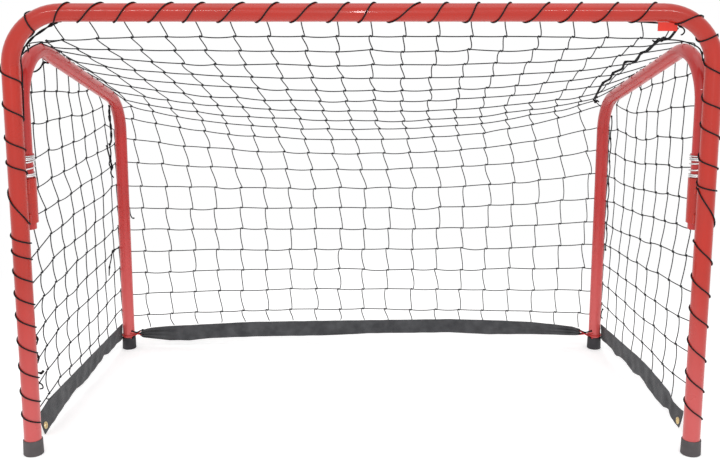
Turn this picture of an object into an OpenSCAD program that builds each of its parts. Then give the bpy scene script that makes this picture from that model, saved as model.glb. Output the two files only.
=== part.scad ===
// Folding goal for ball and street hockey: a bent tube mouth frame, two side
// frames that fold behind it on sprung hinges, and a knotted net laced on.
// Millimetres. X runs across the mouth, Y goes back into the goal and Z up.
// The origin is on the floor, under the middle of the goal.

/* [Goal] */
// Clear width between the two front posts
mouth_w = 900; // [840:10:1100]
// Clear height from the floor to the top bar
mouth_h = 600; // [590:5:700]
// Depth from the front posts' centre line to the rear posts'
goal_depth = 425; // [400:5:450]
// How far each rear post stands inside its front post
rear_inset = 33.5; // [20:0.5:45]
// Height where the sloping tube's line meets the hinge leg's
rail_front_h = 585; // [570:1:588]
// Height where the sloping tube's line meets the rear post's
rail_rear_h = 453; // [430:1:475]

/* [Tubes] */
// Outside diameter of the front frame's tube
front_d = 24; // [22:0.5:27]
// Outside diameter of the side frames' tube
side_d = 21; // [19:0.5:23]
// Wall of both tubes
tube_wall = 1.5; // [1:0.1:2.5]
// Centre-line radius of every bend
bend_r = 70; // [60:1:76]

/* [Hinges] */
// Height of the hinge sleeve's upper rim
sleeve_top = 389; // [370:1:400]
// Length of the hinge sleeve
sleeve_len = 62; // [50:1:80]
// Wall of the hinge sleeve
sleeve_wall = 2.7; // [2:0.1:3.5]
// How far each hinge axis stands inside its front post's axis
hinge_inset = 3; // [0:0.5:6]
// Length of the side tube below the sleeve
tail_len = 9; // [8:0.5:20]
// Height of the spring between the sleeve and its washer
spring_len = 30; // [26:1:40]
// Diameter of the spring wire
wire_d = 2.2; // [1.6:0.1:2.4]
// Diameter of the cross pin under the sleeve
pin_d = 5; // [4:0.5:6]
// Thickness of the washer above the spring
washer_t = 1.2; // [0.8:0.1:2]
// Radius of the weld beads that hold the sleeve to the post
bead_r = 2.5; // [2:0.1:3.5]

/* [Feet] */
// Height of each foot cap
cap_h = 22; // [16:1:30]
// Wall of a foot cap at its upper rim
cap_wall = 1.3; // [1:0.1:2.5]
// How much wider a foot cap is at the floor, on the radius
cap_flare = 0.5; // [0:0.1:1.5]
// Thickness of a foot cap's floor
cap_floor = 3; // [2:0.5:6]

/* [Net] */
// Side of one square mesh
mesh = 43; // [38:1:50]
// Thickness of the twine
twine = 2; // [1.6:0.1:2.4]
// Drop of the roof's middle below the rails, at the back of the roof
roof_sag = 48; // [30:1:60]
// How far the middle of the roof's back edge hangs forward of the back net
roof_forward = 94; // [60:1:110]
// How much the middle of the back net's top hangs down as it turns into the roof
back_drop = 40; // [20:1:50]
// Height of the back net's lowest row at the rear posts
back_low_h = 55; // [50:1:70]
// Rise of that lowest row in the middle
back_low_rise = 12; // [0:1:14]

/* [Lacing] */
// Diameter of the lacing cord
lace_d = 2; // [1.6:0.1:2.2]
// Diameter of the doubled cord at the corners and seams
seam_d = 3; // [2.5:0.1:3.5]

/* [Skirt] */
// Height of the skirt band
skirt_w = 30; // [20:1:35]
// Thickness of the skirt band
skirt_t = 1; // [0.6:0.1:1.6]
// Distance of each side skirt's front end behind its hinge axis
skirt_start = 40; // [30:1:60]
// Height of the lower edge at a side skirt's front end
skirt_front_z = 8; // [5:1:14]
// Height of the skirt's lower edge at the rear posts
skirt_rear_z = 13; // [6:1:16]
// Height of the skirt's lower edge in the middle of the back
skirt_back_z = 18; // [10:1:19]
// Height at which the red ties gather the back skirt
tie_z = 26; // [24:1:30]
// Inside radius of the eyelets
eyelet_r = 2.5; // [2:0.1:4]

/* [Hidden] */

$fn = 48;
// Running clearance of the side tube in its sleeve, on the radius
run_gap = 0.1;
// Gap between pieces that touch but aren't a fit
seat_gap = 0.3;
// Gap between a weld bead and the tubes that it joins
bead_gap = 0.15;
// Gap that keeps a cap off its tube, on the radius
cap_gap = 0.15;
// How much a tube's radius draws in through a bend, and how far straights run into it
bend_draw = 0.06;
splice = 1;
// Something longer than any cut has to be
beyond = 2;

front_r = front_d / 2;
side_r = side_d / 2;
front_y = -goal_depth / 2;
rear_y = goal_depth / 2;
post_x = mouth_w / 2 + front_r;
bar_z = mouth_h + front_r;
rear_x = post_x - rear_inset;
bar_half = post_x - bend_r;

// The hinge axis stands behind the post, where the sleeve touches the post
sleeve_bore_r = side_r + run_gap;
sleeve_r = sleeve_bore_r + sleeve_wall;
sleeve_bottom = sleeve_top - sleeve_len;
weld_gap = 0.2;
hinge_off = front_r + sleeve_r + weld_gap;
hinge_x = post_x - hinge_inset;
hinge_y = front_y + sqrt(hinge_off * hinge_off - hinge_inset * hinge_inset);

// The side frame lies in an upright plane through the hinge axis and the rear post
side_len = norm([hinge_x - rear_x, rear_y - hinge_y]);
side_turn = atan2(hinge_x - rear_x, rear_y - hinge_y);
rail_slope = atan2(rail_front_h - rail_rear_h, side_len);
front_turn = 90 + rail_slope;
rear_turn = 90 - rail_slope;
front_tan = bend_r * tan(front_turn / 2);
rear_tan = bend_r * tan(rear_turn / 2);
front_bend_z = rail_front_h - front_tan;
rear_bend_z = rail_rear_h - rear_tan;
rail_len = side_len / cos(rail_slope) - front_tan - rear_tan;
tail_z = sleeve_bottom - tail_len;

// Where the back skirt is gathered by the ties, and where it has opened out again
gather_x = rear_x - side_r - 4;
gather_h = 6;
spread_x = gather_x - 50;
spread_droop = 5;

// Meshes of the net: columns across, rows of the roof and rows of the back
net_cols = 2 * round(rear_x / mesh);
roof_rows = round(goal_depth / mesh) - 1;
back_rows = round((rail_rear_h - back_low_h) / mesh) + 1;
all_rows = roof_rows + back_rows;
// Where the roof's edge cord ends, part of the way round the bar's bends
bend_len = bend_r * PI / 2;
edge_share = 0.69;
net_edge_x = bar_half + bend_r * edge_share;
net_edge_s = bar_half + bend_len * asin(edge_share) / 90;

// ---------------------------------------------------------------- tubes

// A bend of the tube: from the origin, going up, turning towards +Y
module bend(r, turn) {
  translate([0, bend_r, 0])
    rotate([90, 0, -90])
      rotate_extrude(angle = turn)
        translate([bend_r, 0]) circle(r - bend_draw);
}

// A straight stretch, upwards, that runs a little way into the bend at each end
module straight(r, from, to, low_bend, high_bend) {
  low = from - (low_bend ? splice : 0);
  high = to + (high_bend ? splice : 0);
  translate([0, 0, low]) cylinder(r = r, h = high - low);
}

// The mouth frame's outline as one solid round bar of radius r
module hoop(r, foot_z) {
  for (side = [-1, 1])
    translate([side * post_x, front_y, 0]) {
      straight(r, foot_z, bar_z - bend_r, false, true);
      translate([0, 0, bar_z - bend_r]) rotate([0, 0, side * 90]) bend(r, 90);
    }
  translate([0, front_y, bar_z]) rotate([0, 90, 0]) straight(r, -bar_half, bar_half, true, true);
}

// One side frame's outline as a solid round bar, with the hinge axis at x = y = 0
module side_bar(r, tail, foot_z) {
  straight(r, tail, front_bend_z, false, true);
  translate([0, 0, front_bend_z]) bend(r, front_turn);
  translate([0, front_tan * cos(rail_slope), rail_front_h - front_tan * sin(rail_slope)])
    rotate([-front_turn, 0, 0]) {
      straight(r, 0, rail_len, true, true);
      translate([0, 0, rail_len]) bend(r, rear_turn);
    }
  translate([0, side_len, 0]) straight(r, foot_z, rear_bend_z, false, true);
}

// Puts a piece of the left side frame at the left hinge
module at_left_hinge() {
  translate([-hinge_x, hinge_y, 0]) rotate([0, 0, -side_turn]) children();
}

module front_frame() {
  color([0.80, 0.19, 0.16])
    difference() {
      hoop(front_r, cap_floor + cap_gap);
      hoop(front_r - tube_wall, cap_floor - beyond);
    }
}

// The upset bead on the side tube that the spring's washer bears against
bead_z = sleeve_top + spring_len + washer_t + 2 * seat_gap;
bead_h = 2.4;
bead_out = 1.6;

module left_side_frame() {
  color([0.80, 0.20, 0.20])
    at_left_hinge() difference() {
      union() {
        side_bar(side_r, tail_z, cap_floor + cap_gap);
        translate([0, 0, bead_z])
          rotate_extrude()
            polygon([[side_r - tube_wall / 2, 0], [side_r + bead_out, 0],
                     [side_r + bead_out, bead_h / 2], [side_r - tube_wall / 2, bead_h]]);
      }
      side_bar(side_r - tube_wall, tail_z - beyond, cap_floor - beyond);
      translate([0, 0, pin_z]) rotate([90, 0, 0])
        cylinder(r = pin_d / 2 + cap_gap, h = 2 * side_d, center = true);
    }
}

// ---------------------------------------------------------------- feet

module foot_cap(tube_r) {
  bore_r = tube_r + cap_gap;
  rim_r = bore_r + cap_wall;
  foot_r = rim_r + cap_flare;
  edge = 0.8;
  color([0.24, 0.24, 0.25])
    rotate_extrude()
      polygon([[0, 0], [foot_r - edge, 0], [foot_r, edge], [rim_r, cap_h - edge],
               [rim_r - edge, cap_h], [bore_r, cap_h], [bore_r, cap_floor], [0, cap_floor]]);
}

module left_front_cap() {
  translate([-post_x, front_y, 0]) foot_cap(front_r);
}

module left_rear_cap() {
  translate([-rear_x, rear_y, 0]) foot_cap(side_r);
}

// ---------------------------------------------------------------- hinges

module left_sleeve() {
  color([0.80, 0.19, 0.16])
    translate([-hinge_x, hinge_y, sleeve_bottom])
      difference() {
        cylinder(r = sleeve_r, h = sleeve_len);
        translate([0, 0, -beyond]) cylinder(r = sleeve_bore_r, h = sleeve_len + 2 * beyond);
      }
}

// Beads in the two creases between post and sleeve, at the sleeve's top and bottom
bead_top_len = 20;
bead_low_len = 14;

module left_welds() {
  a = front_r + bead_r + bead_gap;
  b = sleeve_r + bead_r + bead_gap;
  // Where a bead touches both round tubes, found from the triangle of their axes
  along = (hinge_off * hinge_off + a * a - b * b) / (2 * hinge_off);
  across = sqrt(a * a - along * along);
  color([0.76, 0.20, 0.17])
    translate([-post_x, front_y, 0]) rotate([0, 0, -asin(hinge_inset / hinge_off)])
      for (side = [-1, 1])
        translate([side * across, along, 0]) {
          translate([0, 0, sleeve_top - bead_top_len]) weld_bead(bead_top_len);
          translate([0, 0, sleeve_bottom]) weld_bead(bead_low_len);
        }
}

module weld_bead(len) {
  tip = bead_r / 2;
  rotate_extrude()
    polygon([[0, 0], [tip, 0], [bead_r, tip], [bead_r, len - tip], [tip, len], [0, len]]);
}

pin_z = sleeve_bottom - seat_gap - pin_d / 2;
pin_len = 2 * sleeve_r;

module left_cross_pin() {
  color([0.20, 0.20, 0.21])
    at_left_hinge() translate([0, 0, pin_z]) rotate([90, 0, 0])
      cylinder(r = pin_d / 2, h = pin_len, center = true);
}

module left_washer() {
  color([0.78, 0.79, 0.80])
    translate([-hinge_x, hinge_y, sleeve_top + spring_len + seat_gap])
      difference() {
        cylinder(r = spring_r + wire_d / 2, h = washer_t);
        translate([0, 0, -beyond]) cylinder(r = side_r + seat_gap, h = washer_t + 2 * beyond);
      }
}

// A coil spring with two closed turns at each end and two open turns between
spring_r = side_r + seat_gap + wire_d / 2 + 0.2;
closed_turns = 2;
open_turns = 2;
coil_step = 36;
coil_sides = 5;

// Height of the wire's centre line after a number of turns
function coil_z(turns, lift) =
  wire_d * 1.04 * (min(turns, closed_turns) + max(0, turns - closed_turns - open_turns))
  + lift * min(max(turns - closed_turns, 0), open_turns);

module left_spring() {
  rise = spring_len - 2 * seat_gap - wire_d;
  lift = (rise - 2 * closed_turns * wire_d * 1.04) / open_turns;
  all_turns = 2 * closed_turns + open_turns;
  count = all_turns * 360 / coil_step;
  path = [for (k = [0 : count]) let (a = k * coil_step)
    [spring_r * cos(a), spring_r * sin(a), coil_z(a / 360, lift)]];
  outward = [for (k = [0 : count]) [cos(k * coil_step), sin(k * coil_step), 0]];
  color([0.80, 0.81, 0.82])
    translate([-hinge_x, hinge_y, sleeve_top + seat_gap + wire_d / 2])
      cord(path, outward, wire_d / 2, coil_sides);
}

// ---------------------------------------------------------------- cords

function unit(v) = v / norm(v);

// Direction of a path at point k, from its neighbours
function heading(path, k) =
  unit(path[min(k + 1, len(path) - 1)] - path[max(k - 1, 0)]);

// A round cord along a path; outward holds a direction square to the path at each
// point, and r is the cord's radius, or a list of one radius for each point
module cord(path, outward, r, sides) {
  n = len(path);
  points = [for (k = [0 : n - 1])
    let (t = heading(path, k), b = unit(cross(t, outward[k])), c = cross(b, t), rk = is_num(r) ? r : r[k])
    for (s = [0 : sides - 1]) let (a = 360 * s / sides) path[k] + rk * (cos(a) * c + sin(a) * b)];
  walls = [for (k = [0 : n - 2], s = [0 : sides - 1])
    let (i = k * sides + s, j = k * sides + (s + 1) % sides)
    each [[i, i + sides, j + sides], [i, j + sides, j]]];
  first = [for (s = [0 : sides - 1]) s];
  last = [for (s = [0 : sides - 1]) (n - 1) * sides + (sides - 1 - s)];
  polyhedron(points, concat([first], walls, [last]), convexity = 10);
}

// A straight cord between two points
module strand(from, to, r) {
  v = to - from;
  translate(from)
    rotate([0, acos(v[2] / norm(v)), atan2(v[1], v[0])]) cylinder(r = r, h = norm(v), $fn = 24);
}

// A cord along a list of points, with a knot at each
knot_swell = 1.45;
cord_sides = 6;

module knotted_cord(points, r, outward) {
  n = len(points);
  path = [for (k = [0 : n - 1]) let (t = heading(points, k))
    for (end = [-1, 0, 1]) points[k] + end * 2 * r * t];
  cord(path, [for (p = path) outward], [for (k = [0 : n - 1]) each [r, knot_swell * r, r]], cord_sides);
}

// ---------------------------------------------------------------- front lacing

// One cord is wound round the hoop, once in every mesh. Turns are counted from the
// middle of the bar, and at each whole turn the cord crosses the net's edge cord.
lace_r = lace_d / 2;
lace_steps = 12;
lace_sides = 4;
edge_angle = 120;
lace_at = (front_r + seat_gap + lace_r) / cos(180 / lace_steps);
lace_over = twine + seat_gap;
lace_foot = cap_h + lace_d;
lace_sleeve_low = tail_z - 2 * lace_d;
lace_sleeve_top = bead_z + bead_h + 2 * lace_d;
post_len = bar_z - bend_r;
lace_pitch = 2 * net_edge_x / net_cols;

// Distance along the hoop from the middle of the bar to a height on a post
function post_s(z) = bar_half + bend_len + post_len - z;

// Turns at the end of the bar, above the sleeve, below it and at the foot
bar_turns = bar_half / lace_pitch;
upper_turns = round((post_s(lace_sleeve_top) - bar_half) / mesh);
lower_turns = round((lace_sleeve_low - lace_foot) / mesh);

// Turns against distance. Past each sleeve the cord makes one long half turn in front.
left_top_turn = -ceil(bar_turns) - upper_turns - edge_angle / 360;
right_top_turn = ceil(bar_turns) + upper_turns + (180 - edge_angle) / 360;
lace_table = [
  [left_top_turn - 0.5 - lower_turns, -post_s(lace_foot)],
  [left_top_turn - 0.5, -post_s(lace_sleeve_low)],
  [left_top_turn, -post_s(lace_sleeve_top)],
  [-bar_turns - 0.5, -bar_half],
  [bar_turns - 0.5, bar_half],
  [right_top_turn, post_s(lace_sleeve_top)],
  [right_top_turn + 0.5, post_s(lace_sleeve_low)],
  [right_top_turn + 0.5 + lower_turns, post_s(lace_foot)]
];

// The hoop's centre line and its outward direction, at a distance along it
function hoop_at(s) =
  let (side = sign(s), d = abs(s), a = (d - bar_half) / bend_len * 90)
  d <= bar_half ? [[s, front_y, bar_z], [0, 0, 1]]
  : a <= 90 ? [[side * (bar_half + bend_r * sin(a)), front_y, bar_z - bend_r + bend_r * cos(a)],
               [side * sin(a), 0, cos(a)]]
  : [[side * post_x, front_y, post_len - (d - bar_half - bend_len)], [side, 0, 0]];

function lace_point(k) =
  let (turn = lace_table[0][0] + k / lace_steps,
       angle = edge_angle + 360 * turn,
       s = lookup(turn, lace_table),
       h = hoop_at(s),
       out = cos(angle) * h[1] + sin(angle) * [0, 1, 0])
  [h[0] + (lace_at + lace_lift(abs(s), abs(turn - round(turn)) * lace_steps)) * out, out];

// How far the cord stands off the tube where it crosses the net's edge cord
function lace_lift(s, steps_off) =
  s < bar_half ? (steps_off < 0.5 ? lace_over : 0)
  : s < net_edge_s && steps_off < 1.5 ? lace_over + chord_sag : 0;

module front_lacing() {
  count = floor((lace_table[7][0] - lace_table[0][0]) * lace_steps);
  run = [for (k = [0 : count]) lace_point(k)];
  color([0.10, 0.10, 0.11])
    cord([for (p = run) p[0]], [for (p = run) p[1]], lace_r, lace_sides);
}

// A doubled cord that cuts across the mouth's top left corner, knotted to the tube
corner_from = 66;
corner_to = 22;

module left_corner_cord() {
  r = seam_d / 2;
  in_r = bend_r - front_r - seat_gap - knot_swell * r;
  middle = [-bar_half, front_y, bar_z - bend_r];
  ends = [for (a = [corner_from, corner_to]) middle + in_r * [-cos(a), 0, sin(a)]];
  color([0.10, 0.10, 0.11])
    knotted_cord([ends[0], (ends[0] + ends[1]) / 2, ends[1]], r, [0, 1, 0]);
}

// ---------------------------------------------------------------- net

// The net's straight cords clear a bend of the rail by this much more in the middle
chord_sag = mesh * mesh / (8 * bend_r);
net_off = side_r + seat_gap + twine + chord_sag;
edge_off = front_r + seat_gap + twine / 2;
// How many rows the back net takes to turn into the roof, and how evenly a row hangs
turn_rows = 5;
hang = 2.3;

// Centre line of a side frame's top, at a distance from the hinge axis, with its normal
function rail_at(d) =
  let (front_end = front_tan * cos(rail_slope),
       rear_start = side_len - rear_tan * cos(rail_slope))
  d < front_end
    ? let (a = asin((d - bend_r) / bend_r))
      [[d, front_bend_z + bend_r * cos(a)], [sin(a), cos(a)]]
  : d < rear_start
    ? [[d, rail_front_h - d * tan(rail_slope)], [sin(rail_slope), cos(rail_slope)]]
  : let (a = asin((d - side_len + bend_r) / bend_r))
    [[d, rear_bend_z + bend_r * cos(a)], [sin(a), cos(a)]];

// The roof's edge, as a distance from the hinge axis and a height, above the rail
roof_first = 32;
roof_last = side_len - 20;
function roof_edge(row) =
  let (d = roof_first + (roof_last - roof_first) * (row - 1) / (roof_rows - 1), p = rail_at(d))
  p[0] + net_off * p[1];

// Depth and height of the net's edge and of its middle, row by row
back_y = rear_y + side_r + seat_gap + twine / 2;
function edge_yz(row) =
  row <= roof_rows
    ? let (e = roof_edge(row)) [hinge_y + e[0] * cos(side_turn), e[1]]
    : [back_y, back_low_h + (all_rows - row) * (rail_rear_h - 28 - back_low_h) / (back_rows - 1)];

low_mid_h = back_low_h + back_low_rise;
mid_step = (rail_rear_h + 2 - low_mid_h) / back_rows;
function mid_yz(row) =
  row <= roof_rows
    ? [front_y + edge_off + (row / roof_rows) * (back_y - roof_forward - front_y - edge_off),
       bar_z - edge_off + (row / roof_rows) * (rail_rear_h + 10 - roof_sag - bar_z + edge_off)]
    : let (f = pow(max(0, 1 - (row - roof_rows) / turn_rows), 2))
      [back_y - roof_forward * f, low_mid_h + mid_step * (all_rows - row) - back_drop * f];

// Half width of the net at a row
function row_x(row) =
  row > roof_rows ? rear_x : hinge_x - roof_edge(row)[0] * sin(side_turn);

// Distance along the hoop of the point of the bar or its bend over a point of the mouth
function bar_s(x) =
  abs(x) <= bar_half ? x
  : sign(x) * (bar_half + bend_len * asin((abs(x) - bar_half) / bend_r) / 90);

// A knot of the net: u runs from -1 to 1 across, row counts from the bar
function knot(u, row) =
  row == 0
    ? let (h = hoop_at(bar_s(u * net_edge_x)))
      h[0] + edge_off * (cos(edge_angle) * h[1] + sin(edge_angle) * [0, 1, 0])
    : let (e = edge_yz(row), m = mid_yz(row), f = pow(abs(u), hang))
      [u * row_x(row), m[0] + (e[0] - m[0]) * f, m[1] + (e[1] - m[1]) * f];

// The knots of rows first to last, as columns
function knots(first, last) =
  [for (i = [0 : net_cols]) [for (row = [first : last]) knot(2 * i / net_cols - 1, row)]];

// A sheet of knotted twine through a grid of points. Each knot is a small square and
// each cord a square bar between two knots. The bare rows have no cords along them.
module lattice(g, bare) {
  nu = len(g) - 1;
  nv = len(g[0]) - 1;
  h = twine / 2;
  function along_u(i, j) = unit(g[min(i + 1, nu)][j] - g[max(i - 1, 0)][j]);
  function along_v(i, j) = unit(g[i][min(j + 1, nv)] - g[i][max(j - 1, 0)]);
  function id(i, j, a, b, c) = 8 * (i * (nv + 1) + j) + a + 2 * b + 4 * c;
  function quad(p) = [[p[0], p[1], p[2]], [p[0], p[2], p[3]]];
  function u_cord(j) = len([for (b = bare) if (b == j) b]) == 0;
  points = [for (i = [0 : nu], j = [0 : nv])
    let (u = along_u(i, j), n = unit(cross(u, along_v(i, j))), v = cross(n, u))
    for (c = [-1, 1], b = [-1, 1], a = [-1, 1]) g[i][j] + h * (a * u + b * v + c * n)];
  faces = [for (i = [0 : nu], j = [0 : nv]) each concat(
    quad([id(i, j, 0, 0, 1), id(i, j, 0, 1, 1), id(i, j, 1, 1, 1), id(i, j, 1, 0, 1)]),
    quad([id(i, j, 0, 0, 0), id(i, j, 1, 0, 0), id(i, j, 1, 1, 0), id(i, j, 0, 1, 0)]),
    i > 0 && u_cord(j) ? []
      : quad([id(i, j, 0, 0, 0), id(i, j, 0, 1, 0), id(i, j, 0, 1, 1), id(i, j, 0, 0, 1)]),
    i < nu && u_cord(j) ? []
      : quad([id(i, j, 1, 0, 0), id(i, j, 1, 0, 1), id(i, j, 1, 1, 1), id(i, j, 1, 1, 0)]),
    j > 0 ? [] : quad([id(i, j, 0, 0, 0), id(i, j, 0, 0, 1), id(i, j, 1, 0, 1), id(i, j, 1, 0, 0)]),
    j < nv ? [] : quad([id(i, j, 0, 1, 0), id(i, j, 1, 1, 0), id(i, j, 1, 1, 1), id(i, j, 0, 1, 1)]),
    i < nu && u_cord(j) ? concat(
      quad([id(i, j, 1, 0, 1), id(i, j, 1, 1, 1), id(i + 1, j, 0, 1, 1), id(i + 1, j, 0, 0, 1)]),
      quad([id(i, j, 1, 0, 0), id(i + 1, j, 0, 0, 0), id(i + 1, j, 0, 1, 0), id(i, j, 1, 1, 0)]),
      quad([id(i, j, 1, 0, 0), id(i, j, 1, 0, 1), id(i + 1, j, 0, 0, 1), id(i + 1, j, 0, 0, 0)]),
      quad([id(i, j, 1, 1, 0), id(i + 1, j, 0, 1, 0), id(i + 1, j, 0, 1, 1), id(i, j, 1, 1, 1)])) : [],
    j < nv ? concat(
      quad([id(i, j, 0, 1, 1), id(i, j + 1, 0, 0, 1), id(i, j + 1, 1, 0, 1), id(i, j, 1, 1, 1)]),
      quad([id(i, j, 0, 1, 0), id(i, j, 1, 1, 0), id(i, j + 1, 1, 0, 0), id(i, j + 1, 0, 0, 0)]),
      quad([id(i, j, 0, 1, 0), id(i, j + 1, 0, 0, 0), id(i, j + 1, 0, 0, 1), id(i, j, 0, 1, 1)]),
      quad([id(i, j, 1, 1, 0), id(i, j, 1, 1, 1), id(i, j + 1, 1, 0, 1), id(i, j + 1, 1, 0, 0)])) : [])];
  color([0.09, 0.09, 0.10]) polyhedron(points, faces, convexity = 10);
}

module net_roof() {
  lattice(knots(0, roof_rows), []);
}

// Height of the back skirt's upper edge
function hem_z(x) = lookup(abs(x), [
  [spread_x / 2, skirt_back_z + skirt_w],
  [spread_x, skirt_back_z + skirt_w - spread_droop],
  [gather_x, tie_z + gather_h / 2]
]);

// The back net's columns reach up to the roof's last row and down to the skirt
module net_back() {
  reach = 1.15 * twine + seat_gap;
  hem = twine / 2 + seat_gap;
  lattice([for (c = knots(roof_rows, all_rows)) concat(
    [c[0] + reach * unit(c[1] - c[0])],
    [for (j = [1 : back_rows]) c[j]],
    [[c[back_rows][0], back_y, hem_z(c[back_rows][0]) + hem]])], [0, back_rows + 1]);
}

// The doubled cord that lies on the roof beside the right-hand rail
roof_cord_u = [0.95, 0.985];

module right_roof_cord() {
  r = seam_d / 2;
  above = (twine / 2 + seat_gap + knot_swell * r) * 1.2;
  path = [for (row = [1 : roof_rows])
    let (share = (row - 1) / (roof_rows - 1),
         u = roof_cord_u[0] + share * (roof_cord_u[1] - roof_cord_u[0]))
    knot(u, row) + [0, 0, above]];
  color([0.10, 0.10, 0.11]) knotted_cord(path, r, [1, 0, 0]);
}

// A side net is flat. It hangs outside its frame, from the rail down to the skirt.
side_off_front = sleeve_r + seat_gap + twine / 2;
side_off_rear = side_r + cap_gap + cap_wall + cap_flare + seat_gap + max(twine, skirt_t) / 2;
panel_turn = atan2(side_off_front - side_off_rear, side_len);
side_front_d = -front_r + 1;
side_rear_d = side_len + side_r;
side_cols = round((side_rear_d - side_front_d) / mesh);
side_low_z = skirt_front_z + skirt_w + seat_gap;
side_first_z = side_low_z + mesh * 0.77;
side_rows = floor((rail_front_h - side_first_z) / mesh);

// Puts a shape drawn in the net's plane (distance back, height) beside the left frame
module in_side_plane(thick) {
  at_left_hinge() rotate([0, 0, -panel_turn]) translate([-side_off_front, 0, 0])
    rotate([90, 0, 90]) translate([0, 0, -thick / 2]) linear_extrude(thick) children();
}

// Height of the skirt's lower edge beside the left frame
function skirt_z(d) =
  skirt_front_z + (skirt_rear_z - skirt_front_z) * (d - skirt_start) / (side_rear_d - skirt_start);

// Height of the net's upper edge, along the rail
function top_z(d) =
  rail_at(min(max(d, bend_r / 5), side_len - bend_r / 15))[0][1] - side_r / 2;

// Height of the net's lower edge, along the skirt and on to the front
function hem_side_z(d) = skirt_z(max(d, skirt_start)) + skirt_w + seat_gap;

module left_side_net() {
  step = (side_rear_d - side_front_d) / side_cols;
  at = [for (k = [0 : side_cols]) side_front_d + k * step];
  color([0.09, 0.09, 0.10]) in_side_plane(twine) {
    band([for (d = at) [d, top_z(d)]]);
    band([for (d = at) [d, hem_side_z(d)]]);
    for (d = at)
      translate([d - twine / 2, hem_side_z(d) + twine / 2]) square([twine, top_z(d) - hem_side_z(d)]);
    for (row = [0 : side_rows - 1])
      let (z = side_first_z + row * mesh, inside = [for (d = at) if (top_z(d) > z + twine) d])
        translate([min(inside) - twine / 2, z]) square([max(inside) - min(inside) + twine, twine]);
  }
}

// A cord in the net's plane, given by the lower edge of each stretch
module band(line) {
  last = line[len(line) - 1];
  ends = concat([line[0] - [twine / 2, 0]], line, [last + [twine / 2, 0]]);
  polygon(concat(ends, [for (k = [len(ends) - 1 : -1 : 0]) ends[k] + [0, twine]]));
}

// The knotted cord that laces roof and side net together, along the rail's outer edge
seam_first = front_tan * cos(rail_slope);
seam_knots = 7;
seam_lean = 45;

module left_seam_cord() {
  r = seam_d / 2;
  away = side_r + seat_gap + knot_swell * r;
  last = side_len - rear_tan * cos(rail_slope);
  path = [for (k = [0 : seam_knots])
    let (p = rail_at(seam_first + (last - seam_first) * k / seam_knots),
         q = p[0] + away * cos(seam_lean) * p[1])
    [-away * sin(seam_lean), q[0], q[1]]];
  color([0.10, 0.10, 0.11]) at_left_hinge() knotted_cord(path, r, [1, 0, 0]);
}

// ---------------------------------------------------------------- skirt

eyelet_d = skirt_start + skirt_w / 3;
eyelet_z = skirt_front_z + skirt_w / 3;
eyelet_wall = 0.6;
eyelet_flange = 1.8;

module left_skirt() {
  color([0.22, 0.22, 0.24]) in_side_plane(skirt_t)
    difference() {
      polygon([[skirt_start, skirt_front_z],
               [side_rear_d, skirt_rear_z],
               [side_rear_d, skirt_rear_z + skirt_w],
               [skirt_start, skirt_front_z + skirt_w]]);
      translate([eyelet_d, eyelet_z]) circle(eyelet_r + eyelet_wall + cap_gap);
    }
}

// A brass eyelet: a short tube with a flange on each side of the band
module left_eyelet() {
  half = skirt_t / 2 + cap_gap;
  rim = 0.5;
  color([0.72, 0.56, 0.30])
    at_left_hinge() rotate([0, 0, -panel_turn]) translate([-side_off_front, eyelet_d, eyelet_z])
      rotate([0, 90, 0]) rotate_extrude()
        polygon([[eyelet_r, -half - rim], [eyelet_r + eyelet_wall + eyelet_flange, -half - rim],
                 [eyelet_r + eyelet_wall + eyelet_flange, -half], [eyelet_r + eyelet_wall, -half],
                 [eyelet_r + eyelet_wall, half], [eyelet_r + eyelet_wall + eyelet_flange, half],
                 [eyelet_r + eyelet_wall + eyelet_flange, half + rim], [eyelet_r, half + rim]]);
}

// The back skirt is gathered at both ends by the ties and opens out between them
module back_skirt() {
  low = skirt_back_z;
  hem = [-gather_x, -spread_x, -spread_x / 2, spread_x / 2, spread_x, gather_x];
  low_z = [tie_z - gather_h / 2, low - spread_droop, low, low, low - spread_droop, tie_z - gather_h / 2];
  color([0.20, 0.20, 0.22])
    translate([0, back_y + skirt_t / 2, 0]) rotate([90, 0, 0]) linear_extrude(skirt_t)
      polygon(concat([for (k = [0 : 5]) [hem[k], low_z[k]]],
                     [for (k = [5 : -1 : 0]) [hem[k], hem_z(hem[k])]]));
}

// A red wire tie round the rear post, whose two ends reach the skirt
tie_wire = 1.6;
tie_from = 4;
tie_spread = 2;

module left_tie() {
  ring_r = side_r + seat_gap + tie_wire / 2;
  skirt_end = [-gather_x - seat_gap, back_y, tie_z];
  color([0.85, 0.12, 0.10]) {
    translate([-rear_x, rear_y, tie_z])
      rotate_extrude() translate([ring_r, 0]) circle(tie_wire / 2, $fn = 16);
    for (side = [-1, 1])
      strand([-rear_x + tie_from, rear_y + sqrt(ring_r * ring_r - tie_from * tie_from), tie_z],
             skirt_end + [0, 0, side * tie_spread], tie_wire / 2);
  }
}

// A small bare tab hooked under the bar, near its right-hand end
tab_w = 25;
tab_h = 12;
tab_t = 3;
tab_x = bar_half - tab_w / 4;
tab_lip = 3;

module top_tab() {
  color([0.88, 0.10, 0.08])
    difference() {
      translate([tab_x, front_y - tab_t / 2, mouth_h - tab_h]) cube([tab_w, tab_t, tab_h + tab_lip]);
      hoop(front_r + seat_gap, 0);
    }
}

// ---------------------------------------------------------------- right-hand pieces

module right() {
  mirror([1, 0, 0]) children();
}

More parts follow.
